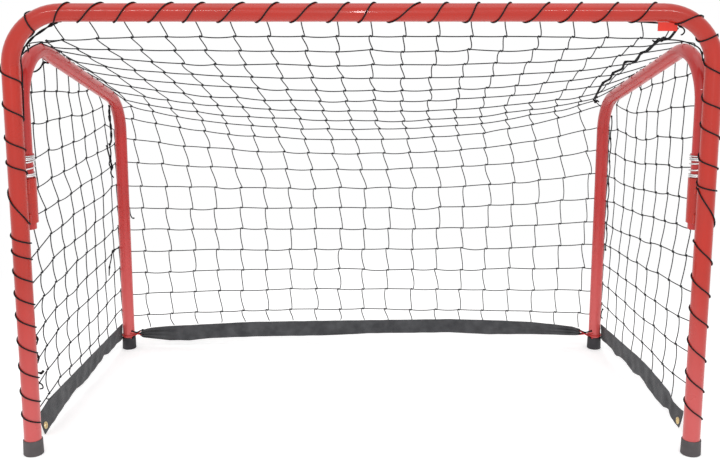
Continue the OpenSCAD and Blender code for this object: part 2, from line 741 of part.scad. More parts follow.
front_frame();
left_front_cap();
right() left_front_cap();  // right_front_cap
left_sleeve();
right() left_sleeve();  // right_sleeve
left_welds();
right() left_welds();  // right_welds
left_spring();
right() left_spring();  // right_spring
left_washer();
right() left_washer();  // right_washer
left_side_frame();
right() left_side_frame();  // right_side_frame
left_rear_cap();
right() left_rear_cap();  // right_rear_cap
left_cross_pin();
right() left_cross_pin();  // right_cross_pin
net_roof();
net_back();
left_side_net();
right() left_side_net();  // right_side_net
front_lacing();
left_corner_cord();
right_roof_cord();
left_seam_cord();
right() left_seam_cord();  // right_seam_cord
left_skirt();
back_skirt();
right() left_skirt();  // right_skirt
left_eyelet();
right() left_eyelet();  // right_eyelet
left_tie();
right() left_tie();  // right_tie
top_tab();
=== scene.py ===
import math

import bpy
import numpy as np
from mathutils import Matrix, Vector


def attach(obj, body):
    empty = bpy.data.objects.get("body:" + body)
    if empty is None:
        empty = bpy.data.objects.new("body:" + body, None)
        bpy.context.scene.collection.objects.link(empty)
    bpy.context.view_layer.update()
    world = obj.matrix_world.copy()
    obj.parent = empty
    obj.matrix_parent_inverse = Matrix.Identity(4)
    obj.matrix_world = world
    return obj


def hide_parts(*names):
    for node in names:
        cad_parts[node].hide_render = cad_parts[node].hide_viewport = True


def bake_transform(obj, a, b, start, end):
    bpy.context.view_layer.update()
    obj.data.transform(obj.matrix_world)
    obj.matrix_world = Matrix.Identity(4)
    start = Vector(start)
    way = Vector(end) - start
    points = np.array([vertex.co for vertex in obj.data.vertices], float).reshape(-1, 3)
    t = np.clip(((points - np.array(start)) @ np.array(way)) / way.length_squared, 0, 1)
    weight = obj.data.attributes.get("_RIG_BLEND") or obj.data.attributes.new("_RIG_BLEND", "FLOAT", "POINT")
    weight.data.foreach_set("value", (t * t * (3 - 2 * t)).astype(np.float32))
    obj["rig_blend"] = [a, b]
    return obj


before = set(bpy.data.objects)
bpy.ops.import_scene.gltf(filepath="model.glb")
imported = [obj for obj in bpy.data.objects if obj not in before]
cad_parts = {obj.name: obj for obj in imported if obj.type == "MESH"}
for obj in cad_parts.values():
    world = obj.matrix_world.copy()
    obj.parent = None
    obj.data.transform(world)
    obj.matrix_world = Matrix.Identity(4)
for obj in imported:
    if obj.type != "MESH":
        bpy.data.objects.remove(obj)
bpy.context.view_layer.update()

# ---------------- camera
# A product camera in front of the mouth, a little above the bar and tipped down.
# The picture's centre is below the optical axis, as with a shift lens.

FRAME_PIXELS, SHIFT_PIXELS, TIPPED_DOWN = 720, -60, 9.56
camera = bpy.data.objects.new("camera", bpy.data.cameras.new("camera"))
bpy.context.scene.collection.objects.link(camera)
camera.location = (-0.003, -1.4705, 0.616)
camera.rotation_euler = (math.radians(90 - TIPPED_DOWN), 0, 0)
camera.data.lens = 47.7
camera.data.sensor_width = 36
camera.data.shift_y = SHIFT_PIXELS / FRAME_PIXELS
camera.data.clip_start = 0.05
bpy.context.scene.camera = camera
bpy.context.scene.view_settings.view_transform = "Standard"

# ---------------- studio
# A white sweep lit evenly, as for a cut-out: the background is plain white, and the
# floor darkens only where the goal keeps the light off it.


def feed(output, node, socket):
    """Links an output to a node's socket."""
    node.id_data.links.new(output, node.inputs[socket])


def add(place, kind, settings=None, **sockets):
    """Adds a shader node to the tree that place is, or that it is in. Settings are the
    node's properties; a socket's value is a number, a tuple, or an output to link."""
    node = place.id_data.nodes.new("ShaderNode" + kind)
    for key, value in (settings or {}).items():
        setattr(node, key, value)
    for key, value in sockets.items():
        key = int(key[1:]) if key[0] == "s" and key[1:].isdigit() else key.replace("_", " ")
        if isinstance(value, bpy.types.NodeSocket):
            feed(value, node, key)
        else:
            node.inputs[key].default_value = value
    return node


def empty_tree(owner):
    """Turns on an owner's shader tree and clears it."""
    owner.use_nodes = True
    owner.node_tree.nodes.clear()
    return owner.node_tree


FILL = 0.72
world = bpy.data.worlds.new("white sweep")
bpy.context.scene.world = world
tree = empty_tree(world)
path = add(tree, "LightPath").outputs
seen = add(tree, "Math", {"operation": "MAXIMUM"}, s0=path["Is Camera Ray"], s1=path["Is Glossy Ray"])
seen = add(tree, "Math", {"operation": "MAXIMUM"}, s0=seen.outputs[0], s1=path["Is Transmission Ray"])
strength = add(tree, "MapRange", s0=seen.outputs[0], s1=0.0, s2=1.0, s3=FILL, s4=1.0)
glow = add(tree, "Background", Color=(1, 1, 1, 1), Strength=strength.outputs[0])
add(tree, "OutputWorld", Surface=glow.outputs[0])


def softbox(name, place, aim, size, watts):
    """A rectangular lamp at a place, turned so that it looks at the point aim."""
    lamp = bpy.data.objects.new(name, bpy.data.lights.new(name, "AREA"))
    bpy.context.scene.collection.objects.link(lamp)
    lamp.data.shape = "RECTANGLE"
    lamp.data.size, lamp.data.size_y = size
    lamp.data.energy = watts
    lamp.location = place
    ahead = np.array(aim, float) - np.array(place, float)
    level = math.hypot(ahead[0], ahead[1])
    tilt, turn = math.atan2(ahead[2], level), math.atan2(-ahead[0], ahead[1])
    lamp.rotation_euler = (math.pi / 2 + tilt, 0, turn)


softbox("overhead softbox", (0.0, -0.4, 2.6), (0.0, 0.0, 0.0), (2.4, 1.8), 13)
softbox("left strip", (-0.95, -2.2, 1.55), (-0.3, -0.2, 0.6), (1.0, 0.06), 7)
softbox("right strip", (1.05, -2.2, 1.55), (0.4, -0.2, 0.6), (0.8, 0.06), 6)
softbox("upright strip", (0.0, -2.6, 0.9), (0.0, -0.2, 0.45), (0.05, 0.9), 5)

FLOOR_HALF, FLOOR_LIFT = 6.0, 0.29
PLAIN_FROM, PLAIN_TO = 0.55, 1.1
floor_mesh = bpy.data.meshes.new("floor")
corners = [(x * FLOOR_HALF, y * FLOOR_HALF, 0.0) for x, y in ((-1, -1), (1, -1), (1, 1), (-1, 1))]
floor_mesh.from_pydata(corners, [], [(0, 1, 2, 3)])
floor = bpy.data.objects.new("floor", floor_mesh)
bpy.context.scene.collection.objects.link(floor)
material = bpy.data.materials.new("white floor")
tree = empty_tree(material)
place = add(tree, "NewGeometry").outputs["Position"]
away = add(tree, "VectorMath", {"operation": "LENGTH"}, s0=place).outputs["Value"]
fade = add(tree, "MapRange", {"interpolation_type": "SMOOTHSTEP"}, s0=away, s1=PLAIN_FROM, s2=PLAIN_TO)
matt = add(tree, "BsdfDiffuse", Color=(1, 1, 1, 1), Roughness=0.0)
lift = add(tree, "Emission", Color=(1, 1, 1, 1), Strength=FLOOR_LIFT)
lit = add(tree, "AddShader", s0=matt.outputs[0], s1=lift.outputs[0])
plain = add(tree, "Emission", Color=(1, 1, 1, 1), Strength=1.0)
mix = add(tree, "MixShader", s0=fade.outputs[0], s1=lit.outputs[0], s2=plain.outputs[0])
add(tree, "OutputMaterial", Surface=mix.outputs[0])
floor.data.materials.append(material)

# ---------------- front frame
# The mouth frame is one steel tube of 24 mm with two bends. It and the two hinge sleeves
# welded to it are powder coated in a glossy red, with a faint orange peel and duller patches.
# Its colour turns paler towards the floor: painted light, as thrown up by the white floor.


def surface(name, roughness, metallic=0.0, **sockets):
    """A new material, its principled shader and the object coordinates in metres."""
    material = bpy.data.materials.new(name)
    tree = empty_tree(material)
    shader = add(tree, "BsdfPrincipled", Roughness=roughness, Metallic=metallic, **sockets)
    add(tree, "OutputMaterial", Surface=shader.outputs[0])
    coords = add(tree, "TexCoord").outputs["Object"]
    return material, shader, coords


def noise(coords, scale, detail=2.0, low=0.0, high=1.0):
    """Noise of a scale in cycles per metre, stretched from its usual 0.3 to 0.7 to the
    range low to high."""
    grain = add(coords, "TexNoise", Vector=coords, Scale=scale, Detail=detail)
    return add(coords, "MapRange", s0=grain.outputs[0], s1=0.3, s2=0.7, s3=low, s4=high).outputs[0]


def blend_colour(share, first, second):
    """Mixes two colours, or outputs, by a share from 0 to 1."""
    mix = add(share, "Mix", {"data_type": "RGBA"}, s0=share, s6=first, s7=second)
    return mix.outputs[2]


def relief(shader, height, distance):
    """Bumps the shader by a height from 0 to 1 that stands for a distance in metres."""
    bump = add(shader, "Bump", Height=height, Distance=distance, Strength=1.0)
    feed(bump.outputs[0], shader, "Normal")


def two_tone(name, roughness, dark, light, scale, detail=2.0, **sockets):
    """A surface whose colour is cloudy between two shades, after noise of a scale."""
    material, shader, coords = surface(name, roughness, **sockets)
    cloud = noise(coords, scale, detail)
    feed(blend_colour(cloud, dark, light), shader, "Base Color")
    return material, shader, coords


# Heights in metres: the paint turns paler from the first down to the second, painted light from the white
# floor
SCUFF_TOP, PAINTED_LIGHT_LOW = 0.26, 0.05


def paint(name, colour, dull, painted_floor_light, roughness):
    """Powder coat: its colour turns a little duller in cloudy patches, and paler from a height
    above the floor down, a painted light from the white floor below. Its gloss varies, and
    fine noise gives the orange peel."""
    material, shader, coords = surface(name, roughness, Coat_Weight=0.42, Coat_Roughness=0.05,
                                             Specular_IOR_Level=0.30)
    cloud = noise(coords, 9.0, 4.0)
    height = add(coords, "SeparateXYZ", s0=coords).outputs[2]
    # Painted light: towards the floor the colour turns to the pale red lit by the floor
    low = add(coords, "MapRange", s0=height, s1=SCUFF_TOP, s2=PAINTED_LIGHT_LOW).outputs[0]
    tone = blend_colour(low, blend_colour(cloud, colour, dull), painted_floor_light)
    feed(tone, shader, "Base Color")
    gloss = noise(coords, 30.0, 3.0, roughness - 0.05, roughness + 0.07)
    feed(gloss, shader, "Roughness")
    relief(shader, noise(coords, 420.0), 0.00003)
    return material


RED = (0.505, 0.018, 0.006, 1)
RED_DULL = (0.420, 0.023, 0.013, 1)
# The pale red lowest on the posts: painted light from the white floor
RED_PAINTED_FLOOR_LIGHT = (0.565, 0.084, 0.082, 1)
red_paint = paint("red powder coat", RED, RED_DULL, RED_PAINTED_FLOOR_LIGHT, 0.30)


def finish(nodes, material):
    """Gives CAD pieces their visible material."""
    for name in nodes:
        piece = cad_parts[name]
        if not piece.material_slots:
            piece.data.materials.append(None)
        for place in piece.material_slots:
            place.link = "OBJECT"
            place.material = material


finish(["front_frame", "left_sleeve", "right_sleeve"], red_paint)

# The welds are laid by hand: a rippled bead under the same paint.

material, shader, coords = surface("painted weld", 0.34, Base_Color=RED)
ripple = add(coords, "TexWave", {"bands_direction": "Z"}, Vector=coords,
             Scale=150.0, Distortion=2.0, Detail=2.0)
relief(shader, ripple.outputs["Fac"], 0.0004)
finish(["left_welds", "right_welds"], material)

# ---------------- side frames
# Each side frame is one 21 mm tube of the same steel, in the same red, that turns in
# its sleeve behind the front post.

# The side frames' paint: its third shade, low down, is painted light from the white floor
side_red = paint(
    "side red powder coat", (0.540, 0.021, 0.018, 1), (0.450, 0.027, 0.025, 1),
    (0.640, 0.096, 0.094, 1), 0.33)
finish(["left_side_frame", "right_side_frame"], side_red)

MM = 0.001
HINGE = np.array([459.0, -187.197]) * MM
SIDE_LEN, SIDE_TURN = 400.84 * MM, math.radians(4.363)
RAIL_SLOPE = math.radians(18.23)
BEND_R, RAIL_FRONT, RAIL_REAR = 70 * MM, 585 * MM, 453 * MM
FRONT_TAN = BEND_R * math.tan((math.pi / 2 + RAIL_SLOPE) / 2)
REAR_TAN = BEND_R * math.tan((math.pi / 2 - RAIL_SLOPE) / 2)


def rail(back, off):
    """A line that runs beside the rail's centre line, at off along its upward normal. The
    centre line is an arc, a slope and an arc over the distance back. Returns the moved
    distance back and height."""
    back = np.clip(back, 0, SIDE_LEN)
    front_end = FRONT_TAN * math.cos(RAIL_SLOPE)
    rear_start = SIDE_LEN - REAR_TAN * math.cos(RAIL_SLOPE)
    lean_front = np.arcsin(np.clip(back / BEND_R - 1, -1, 1))
    lean_rear = np.arcsin(np.clip((back - SIDE_LEN) / BEND_R + 1, -1, 1))
    lean = np.where(back < front_end, lean_front, np.where(back < rear_start, RAIL_SLOPE, lean_rear))
    slope = RAIL_FRONT - back * math.tan(RAIL_SLOPE)
    arcs = np.where(back < front_end, RAIL_FRONT - FRONT_TAN, RAIL_REAR - REAR_TAN)
    arcs = arcs + BEND_R * np.cos(lean)
    height = np.where((back < front_end) | (back >= rear_start), arcs, slope)
    return back + off * np.sin(lean), height + off * np.cos(lean)


def beside(side, back, height, outward=0.0):
    """A point in the row frame from its distance back from the hinge along the side
    frame, its height, and its distance outward from the frame's plane."""
    back, height, outward = np.broadcast_arrays(back, height, outward)
    c, s = math.cos(SIDE_TURN), math.sin(SIDE_TURN)
    x = -HINGE[0] - outward * c + back * s
    y = HINGE[1] + outward * s + back * c
    return np.stack([-side * x, y, height], -1)


# ---------------- feet
# Moulded rubber caps, pushed on the four tube ends. They are matt with a fine grain, and
# the rear pair is darker: painted shade, as they stand further inside the goal.

for end, dark, light in (
        ("front", (0.070, 0.062, 0.064, 1), (0.105, 0.093, 0.096, 1)),
        # The rear pair: the same rubber as the front, darker by painted shade
        ("rear", (0.022, 0.021, 0.024, 1), (0.042, 0.040, 0.045, 1))):
    rubber, shader, coords = two_tone(
        end + " cap rubber", 0.6, dark, light, 40.0, 3.0, Specular_IOR_Level=0.3)
    relief(shader, noise(coords, 1500.0), 0.00005)
    finish([side + end + "_cap" for side in ("left_", "right_")], rubber)

# ---------------- hinges
# On each hinge leg a zinc plated spring pushes up a washer, and a blackened steel pin
# goes across the leg. The springs are round wire, wound with closed turns at both ends.

zinc, shader, coords = two_tone(
    "zinc plate", 0.30, (0.66, 0.64, 0.64, 1), (0.86, 0.85, 0.85, 1), 60.0, 4.0, metallic=1.0)
feed(noise(coords, 120.0, 2.0, 0.22, 0.42), shader, "Roughness")
finish(["left_washer", "right_washer"], zinc)

blackened = two_tone(
    "blackened steel", 0.42, (0.03, 0.03, 0.032, 1), (0.06, 0.058, 0.056, 1), 90.0, metallic=0.6)[0]
finish(["left_cross_pin", "right_cross_pin"], blackened)


def run_length(points, axis):
    """The distance run along one axis of an array of points, from 0 at its start."""
    run = np.cumsum(np.linalg.norm(np.diff(points, axis=axis), axis=-1), axis)
    return np.concatenate([np.zeros_like(np.take(run, [0], axis)), run], axis)


TIP_OUT = 0.6


def cords(paths, radius, sides=6, guide=(0.0, 0.0, 1.0)):
    """Round cords, all with as many points. paths is (cords, points, 3) in metres. Round
    each point goes a ring, square to the path: p + r (n cos a + b sin a), where n is the
    part of guide square to the path's direction t, and b = t x n. Each end is closed by a
    point that stands out by TIP_OUT of the radius. Returns vertices, triangles and their
    corners' (turn, length)."""
    paths = np.asarray(paths, float)
    count, points = paths.shape[:2]
    along = np.gradient(paths, axis=1)
    along /= np.linalg.norm(along, axis=2, keepdims=True)
    guide = np.broadcast_to(np.asarray(guide, float), paths.shape)
    normal = guide - (guide * along).sum(2, keepdims=True) * along
    normal /= np.linalg.norm(normal, axis=2, keepdims=True)
    other = np.cross(along, normal)
    angle = np.arange(sides) * 2 * np.pi / sides
    radius = np.broadcast_to(np.asarray(radius, float), (count, points))[..., None, None]
    ring = normal[:, :, None] * np.cos(angle)[:, None] + other[:, :, None] * np.sin(angle)[:, None]
    ring = paths[:, :, None] + radius * ring
    ends = TIP_OUT * radius[:, [0, -1], 0] * along[:, [0, -1]]
    tips = paths[:, [0, -1]] + ends * np.array([[-1.0], [1.0]])
    vertices = np.concatenate([ring.reshape(count, -1, 3), tips], 1)
    rung, turn = np.meshgrid(np.arange(points - 1), np.arange(sides), indexing="ij")
    rung = (rung.reshape(-1, 1) + np.array([0, 0, 1, 0, 1, 1])).reshape(-1, 3)
    turn = (turn.reshape(-1, 1) + np.array([0, 1, 0, 1, 1, 0])).reshape(-1, 3)
    walls = rung * sides + turn % sides
    s = np.arange(sides)
    first = np.stack([np.full(sides, points * sides), (s + 1) % sides, s], 1)
    last = np.stack([np.full(sides, points * sides + 1), s, (s + 1) % sides], 1)
    last[:, 1:] += (points - 1) * sides
    faces = np.concatenate([walls, first, last])
    turn = np.concatenate([turn / sides, np.zeros((2 * sides, 3))])
    rung = np.concatenate([rung, np.zeros((sides, 3), int), np.full((sides, 3), points - 1)])
    uv = np.stack(np.broadcast_arrays(turn[None], run_length(paths, 1)[:, rung]), -1)
    faces = faces[None] + vertices.shape[1] * np.arange(count)[:, None, None]
    return vertices.reshape(-1, 3), faces.reshape(-1, 3), uv.reshape(-1, 2)


def build(name, parts, material):
    """One object from lists of (vertices, triangles, corner coordinates)."""
    vertices, faces, uvs = zip(*parts)
    starts = np.cumsum([0] + [len(points) for points in vertices])
    faces = [triangles + start for triangles, start in zip(faces, starts)]
    vertices, faces, uvs = map(np.concatenate, (vertices, faces, uvs))
    mesh = bpy.data.meshes.new(name)
    mesh.from_pydata(vertices, [], faces, shade_flat=False)
    mesh.uv_layers.new(name="cord").uv.foreach_set("vector", uvs.astype(np.float32).ravel())
    mesh.materials.append(material)
    piece = bpy.data.objects.new(name.replace(" ", "_"), mesh)
    bpy.context.scene.collection.objects.link(piece)
    return piece


WIRE_R, COIL_R = 1.1 * MM, 12.1 * MM
COIL_LOW, COIL_HIGH = 390.4 * MM, 417.6 * MM
COIL_TURNS, CLOSED, TURN_POINTS = 6.0, 2.0, 40


def coil(side):
    """The wire's centre line: it turns evenly about the leg, and climbs by little more
    than a wire's thickness in each closed turn and by what is left in the open ones."""
    turn = np.linspace(0, COIL_TURNS, int(COIL_TURNS * TURN_POINTS) + 1)
    tight = 2.1 * WIRE_R
    loose = (COIL_HIGH - COIL_LOW - 2 * CLOSED * tight) / (COIL_TURNS - 2 * CLOSED)
    ease = np.clip(turn - CLOSED, 0, COIL_TURNS - 2 * CLOSED)
    z = COIL_LOW + tight * (turn - ease) + loose * ease
    a = 2 * np.pi * turn
    return np.stack([side * HINGE[0] + COIL_R * np.cos(a), HINGE[1] + COIL_R * np.sin(a), z], 1)


for side, name in ((-1, "left"), (1, "right")):
    spring = build(name + " spring coil", [cords([coil(side)], WIRE_R, 10)], zinc)
    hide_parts(name + "_spring")
    # The lower closed turns stay on the sleeve, the upper ones go with the washer.
    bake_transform(spring, "front_frame", name + "_seat",
             (0, 0, COIL_LOW + 4 * WIRE_R), (0, 0, COIL_HIGH - 4 * WIRE_R))

# ---------------- roof and back net
# A black twine net of about 43 mm meshes, knotted by machine. Its roof is tied to the
# bar and to both rails, its back to the rear posts and the skirt, and it hangs slack.

ROOF, HEM, MIDDLE, LAST, FAR_EDGE = 9, 20, 10, 20, 21
REAR_X, BACK_Y = 428.5 * MM, 224 * MM
rng = np.random.default_rng(7)
rows = np.arange(HEM + 1)
# In millimetres: where the net's edge is tied along the rail and above its centre line,
# where its front corners are, and how uneven its knots lie
RAIL_TIES, RAIL_TIE_OFF, CORNER_X, BAR_EDGE_Y = (23, 392), 13, 455, -201
UNEVEN_X, UNEVEN_Z = 1.2, 0.8
# The roof ends BEND_DEPTH before the back, and the net has bent down to it by BEND_END.
BEND_END, BEND_DEPTH = 14, 94


def by_row(*marks):
    """A value for each row of knots, from marks of (row, value), straight in between."""
    return np.interp(rows, *zip(*marks))


def knot_grid():
    """All knots as (columns 0 to 21, rows 0 to 20, 3), worked out in millimetres. A row's
    knots lie an even pitch apart. Its height and depth go from those of its middle, low
    and deep, to those of its edge with a power of the distance from the middle, as a
    hanging net's do. Columns 0 and 21 lie on the rails and the rear posts, and the net's
    plain knots are a little uneven."""
    column = np.arange(FAR_EDGE + 1)[:, None]
    middle = by_row((0, -31), (1, -34), (3, -32), (7, -21), (11, -5), (13, 6), (20, 3))
    left_pitch = by_row((0, 47), (1, 46.4), (2, 46), (7, 42.3), (10, 44.3), (13, 44.9), (20, 44))
    right_pitch = by_row(
        (0, 44.3), (1, 45.7), (2, 45.6), (3, 45.2), (7, 42.3), (10, 44.3), (13, 44.9), (20, 44))
    low = by_row(
        (0, 605.5), (1, 580), (3, 537), (5, 494), (7, 455), (9, 416), (10, 394), (11, 366), (12, 334),
        (13, 298), (19, 71), (20, 50))
    left = by_row(
        (0, 605.5), (1, 572), (3, 557), (5, 523), (7, 486), (9, 452), (10, 428), (11, 389), (12, 346),
        (13, 302), (19, 58), (20, 33))
    right = by_row(
        (0, 605.5), (1, 576), (2, 570), (3, 558), (5, 523), (7, 487), (9, 462), (10, 448), (11, 410),
        (12, 370), (13, 326), (15, 236), (19, 62), (20, 33))
    edge = beside(-1, *rail(np.linspace(*RAIL_TIES, ROOF) * MM, RAIL_TIE_OFF * MM)) / MM
    edge_x = np.concatenate([[CORNER_X], -edge[:, 0], np.full(HEM - ROOF, REAR_X / MM)])
    edge_y = np.concatenate([[BAR_EDGE_Y], edge[:, 1], np.full(HEM - ROOF, BACK_Y / MM)])
    bent = np.clip((BEND_END - rows) / (BEND_END - ROOF), 0, 1)
    roof_y = np.interp(rows, (0, 1, ROOF), (BAR_EDGE_Y, -162, BACK_Y / MM - BEND_DEPTH))
    deep = np.where(rows > ROOF, BACK_Y / MM - BEND_DEPTH * bent**2, roof_y)
    x = middle + np.where(column < MIDDLE, left_pitch, right_pitch) * (column - MIDDLE)
    # The roof cord draws the last roof column in, and the corners pull at the first knots.
    x[LAST, 1:ROOF + 1] -= 13
    x[LAST, 1] = 406
    x[1, 1:3] = (-426, -436)
    share = np.clip(np.abs(x) / edge_x, 0, 1)
    power = np.where(x < 0, by_row((1, 4.5), (5, 2.3)), by_row((1, 3), (5, 2.3)))
    y = deep + (edge_y - deep) * share**power
    z = low + (np.where(x < 0, left, right) - low) * share**power
    loose = np.zeros(x.shape)
    loose[2:LAST, 2:HEM] = 1
    x = x + loose * rng.normal(0, UNEVEN_X, x.shape)
    z = z + loose * rng.normal(0, UNEVEN_Z, x.shape)
    grid = np.stack([x, y, z], 2)
    for end, sign, height in ((0, -1, left), (FAR_EDGE, 1, right)):
        grid[end] = np.stack([sign * edge_x, edge_y, height], 1)
        grid[end, 1:ROOF + 1, 2] = edge[:, 2]
    grid[LAST, ROOF + 1:] = grid[FAR_EDGE, ROOF + 1:]
    grid[[0, 1, FAR_EDGE], 0] = np.nan
    grid[[0, FAR_EDGE], 1] = np.nan
    return grid * MM


grid = knot_grid()
TWINE_R = 0.82 * MM
KNOT_HALF = 2.2 * MM
STRAND_POINTS, TWINE_SIDES = 9, 6
COLUMN_LEAD, ROW_LEAD = 0.9, 0.8
# How far strands bow, on average: sideways and down
COLUMN_BOW, ROW_BOW = (1.2 * MM, 0.5 * MM), (0.6 * MM, 0.9 * MM)
# Directions square to no strand, from which the rings of a cord are turned
COLUMN_GUIDE, ROW_GUIDE = (0.31, 0.9, 0.3), (0.1, 0.3, 0.95)


def unit(v):
    """Vectors scaled to length 1."""
    return v / np.linalg.norm(v, axis=-1, keepdims=True)


def strands(start, end, lead, slack):
    """Cords between pairs of knots, (n, points, 3): Hermite cubics that leave and arrive
    along lead, plus a parabola of slack, (n, 3), that is greatest half way."""
    t = np.linspace(0, 1, STRAND_POINTS)[:, None]
    start, end, lead, slack = (np.asarray(x)[:, None] for x in (start, end, lead, slack))
    curve = (2 * t**3 - 3 * t**2 + 1) * start + (3 * t**2 - 2 * t**3) * end
    curve = curve + (t**3 - 2 * t**2 + t) * lead + (t**3 - t**2) * lead
    return curve + 4 * t * (1 - t) * slack


KNOT_SIDES = 8
KNOT_LONG, KNOT_WIDE, KNOT_THICK = 2.5 * MM, 1.5 * MM, 1.6 * MM
# A knot's rings: their place along it and their size, as shares of its own
KNOT_RINGS, KNOT_LOBES, KNOT_LEAN = ((-0.62, 1.0), (0.0, 0.84), (0.62, 1.0)), 0.12, 0.45


def lumps(centres, across, out):
    """Knots: each is a lump of three rings and two tips, with a waist in the middle, drawn
    out along the row and turned a little down to the left. A cosine makes each ring
    three-lobed."""
    sides = KNOT_SIDES
    angle = np.linspace(0, 2 * np.pi, sides, endpoint=False)
    axis = unit(across + KNOT_LEAN * np.cross(across, out))
    down = np.cross(axis, out)
    rings = []
    for step, swell in KNOT_RINGS:
        swell = swell * (1 + KNOT_LOBES * np.cos(3 * angle + step))
        rim = down[:, None] * (KNOT_WIDE * swell * np.cos(angle))[:, None]
        lift = out[:, None] * (KNOT_THICK * swell * np.sin(angle))[:, None]
        rings.append(centres[:, None] + axis[:, None] * step * KNOT_LONG + rim + lift)
    tips = [(centres + sign * KNOT_LONG * axis)[:, None] for sign in (-1, 1)]
    vertices = np.concatenate(rings + tips, 1)
    s = np.arange(sides)
    n = (s + 1) % sides
    tip = np.full(sides, 3 * sides)
    faces = [(k + s, k + s + sides, k + n) for k in (0, sides)]
    faces += [(k + n, k + s + sides, k + n + sides) for k in (0, sides)]
    faces += [(tip, s, n), (tip + 1, n + 2 * sides, s + 2 * sides)]
    faces = np.concatenate([np.stack(face, 1) for face in faces])
    faces = faces + vertices.shape[1] * np.arange(len(centres))[:, None, None]
    return vertices.reshape(-1, 3), faces.reshape(-1, 3), np.zeros((faces.size, 2))


def chosen(there, columns, rows, skip_columns, skip_rows):
    """Column and row numbers of what is there in a block of a net, less the skipped ones."""
    block = np.zeros_like(there)
    block[columns[0]:columns[1] + 1, rows[0]:rows[1] + 1] = True
    block[list(skip_columns)] = False
    block[:, list(skip_rows)] = False
    return np.nonzero(block & there)


def bow(aside, sideways, downward):
    """Random slack of strands: to either side along aside, and down, by normal draws."""
    sag = np.array([0.0, 0.0, 1.0])
    moved = rng.normal(0, sideways, (len(aside), 1)) * aside
    return moved - np.abs(rng.normal(0, downward, (len(aside), 1))) * sag


def net_parts(grid, columns, rows, skip_columns=(), skip_rows=(), belly=None):
    """Strands and knots of a part of a net: columns and rows are (first, last). A column
    strand leaves its upper knot at the left and meets the lower one at the right. Each
    strand has a little random slack, and belly, (columns, rows, 3), adds to a column's.
    Knots that are nan, and strands to them, are left out."""
    across = unit(np.nan_to_num(np.gradient(grid, axis=0), nan=0.0) + np.array([1e-9, 0, 0]))
    along = unit(np.nan_to_num(np.gradient(grid, axis=1), nan=0.0) + np.array([0, 0, -1e-9]))
    out = unit(np.cross(along, across))
    there = ~np.isnan(grid).any(2)
    i, j = chosen(there[:, :-1] & there[:, 1:], columns, (rows[0], rows[1] - 1), skip_columns, ())
    start = grid[i, j] - KNOT_HALF * across[i, j]
    end = grid[i, j + 1] + KNOT_HALF * across[i, j + 1]
    loose = bow(across[i, j], *COLUMN_BOW)
    loose = loose if belly is None else loose + belly[i, j]
    lines = strands(start, end, COLUMN_LEAD * (grid[i, j + 1] - grid[i, j]), loose)
    found = [cords(lines, TWINE_R, TWINE_SIDES, COLUMN_GUIDE)]
    i, j = chosen(there[:-1] & there[1:], (columns[0], columns[1] - 1), rows, (), skip_rows)
    start, end = grid[i, j], grid[i + 1, j]
    lines = strands(start, end, ROW_LEAD * (end - start), bow(along[i, j], *ROW_BOW))
    found.append(cords(lines, TWINE_R, TWINE_SIDES, ROW_GUIDE))
    i, j = chosen(there, columns, rows, skip_columns, skip_rows)
    found.append(lumps(grid[i, j], across[i, j], out[i, j]))
    return found


def shade_by(shader, wave, strong, grain, dark, light):
    """Colours a shader between two shades by a grain from 0 to 1 plus strong times a wave."""
    share = add(shader, "Math", {"operation": "MULTIPLY_ADD"}, s0=wave, s1=strong, s2=grain)
    share = add(shader, "Clamp", s0=share.outputs[0]).outputs[0]
    feed(blend_colour(share, dark, light), shader, "Base Color")


def sine(value, rate):
    """The sine of a value times a rate."""
    wave = add(value, "Math", {"operation": "MULTIPLY"}, s0=value, s1=rate)
    return add(value, "Math", {"operation": "SINE"}, s0=wave.outputs[0]).outputs[0]


def twine_material(name, dark, light, pitch):
    """Laid cord: a wave that winds round the cord, from its corner coordinates (turn and
    length), stands up from it and paints shade into it: darker in the lay's grooves, lighter on the strands."""
    material, shader, coords = surface(name, 0.75, Specular_IOR_Level=0.15)
    uv = add(shader, "UVMap", {"uv_map": "cord"}).outputs[0]
    parts = add(shader, "SeparateXYZ", s0=uv).outputs
    turns = add(shader, "Math", {"operation": "MULTIPLY_ADD"}, s0=parts[1], s1=1 / pitch, s2=parts[0])
    wave = sine(turns.outputs[0], 4 * math.pi)
    # Painted shade and highlight: the colour follows the wave's hollows and crowns
    shade_by(shader, wave, 0.3, noise(coords, 700.0), dark, light)
    relief(shader, wave, 0.00012)
    return material


twine = twine_material(
    "black twine", (0.015, 0.016, 0.018, 1), (0.042, 0.044, 0.048, 1), 7 * MM)
lacing = twine_material(
    "braided lacing cord", (0.005, 0.005, 0.006, 1), (0.018, 0.018, 0.020, 1), 5 * MM)


FOLD_FROM, FOLD_TO, FOLD_ANGLE = 0.05, 0.385, math.radians(85.6)


def fold(piece, side):
    """Lets a piece of the net follow a side frame as it folds. The share that it turns by
    is c times phi: c rises smoothly from 0 at FOLD_FROM off the middle to 1 at FOLD_TO, and
    phi is how far round the hinge the point lies, from 0 in the mouth's plane to 1 at the
    side frame. So the front edge stays at the bar and the outer edge on the rail."""
    name = "left" if side < 0 else "right"
    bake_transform(piece, name + "_seat", name + "_side", (side * FOLD_FROM, 0, 0.3), (side * FOLD_TO, 0, 0.3))
    points = np.zeros(len(piece.data.vertices) * 3, np.float32)
    piece.data.vertices.foreach_get("co", points)
    points = points.reshape(-1, 3)
    share = np.zeros(len(points), np.float32)
    weights = piece.data.attributes["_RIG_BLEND"].data
    weights.foreach_get("value", share)
    inward = HINGE[0] - side * points[:, 0]
    around = np.arctan2(np.maximum(points[:, 1] - HINGE[1], 0), np.maximum(inward, 1e-6))
    share *= np.clip(around / FOLD_ANGLE, 0, 1)
    weights.foreach_set("value", share)


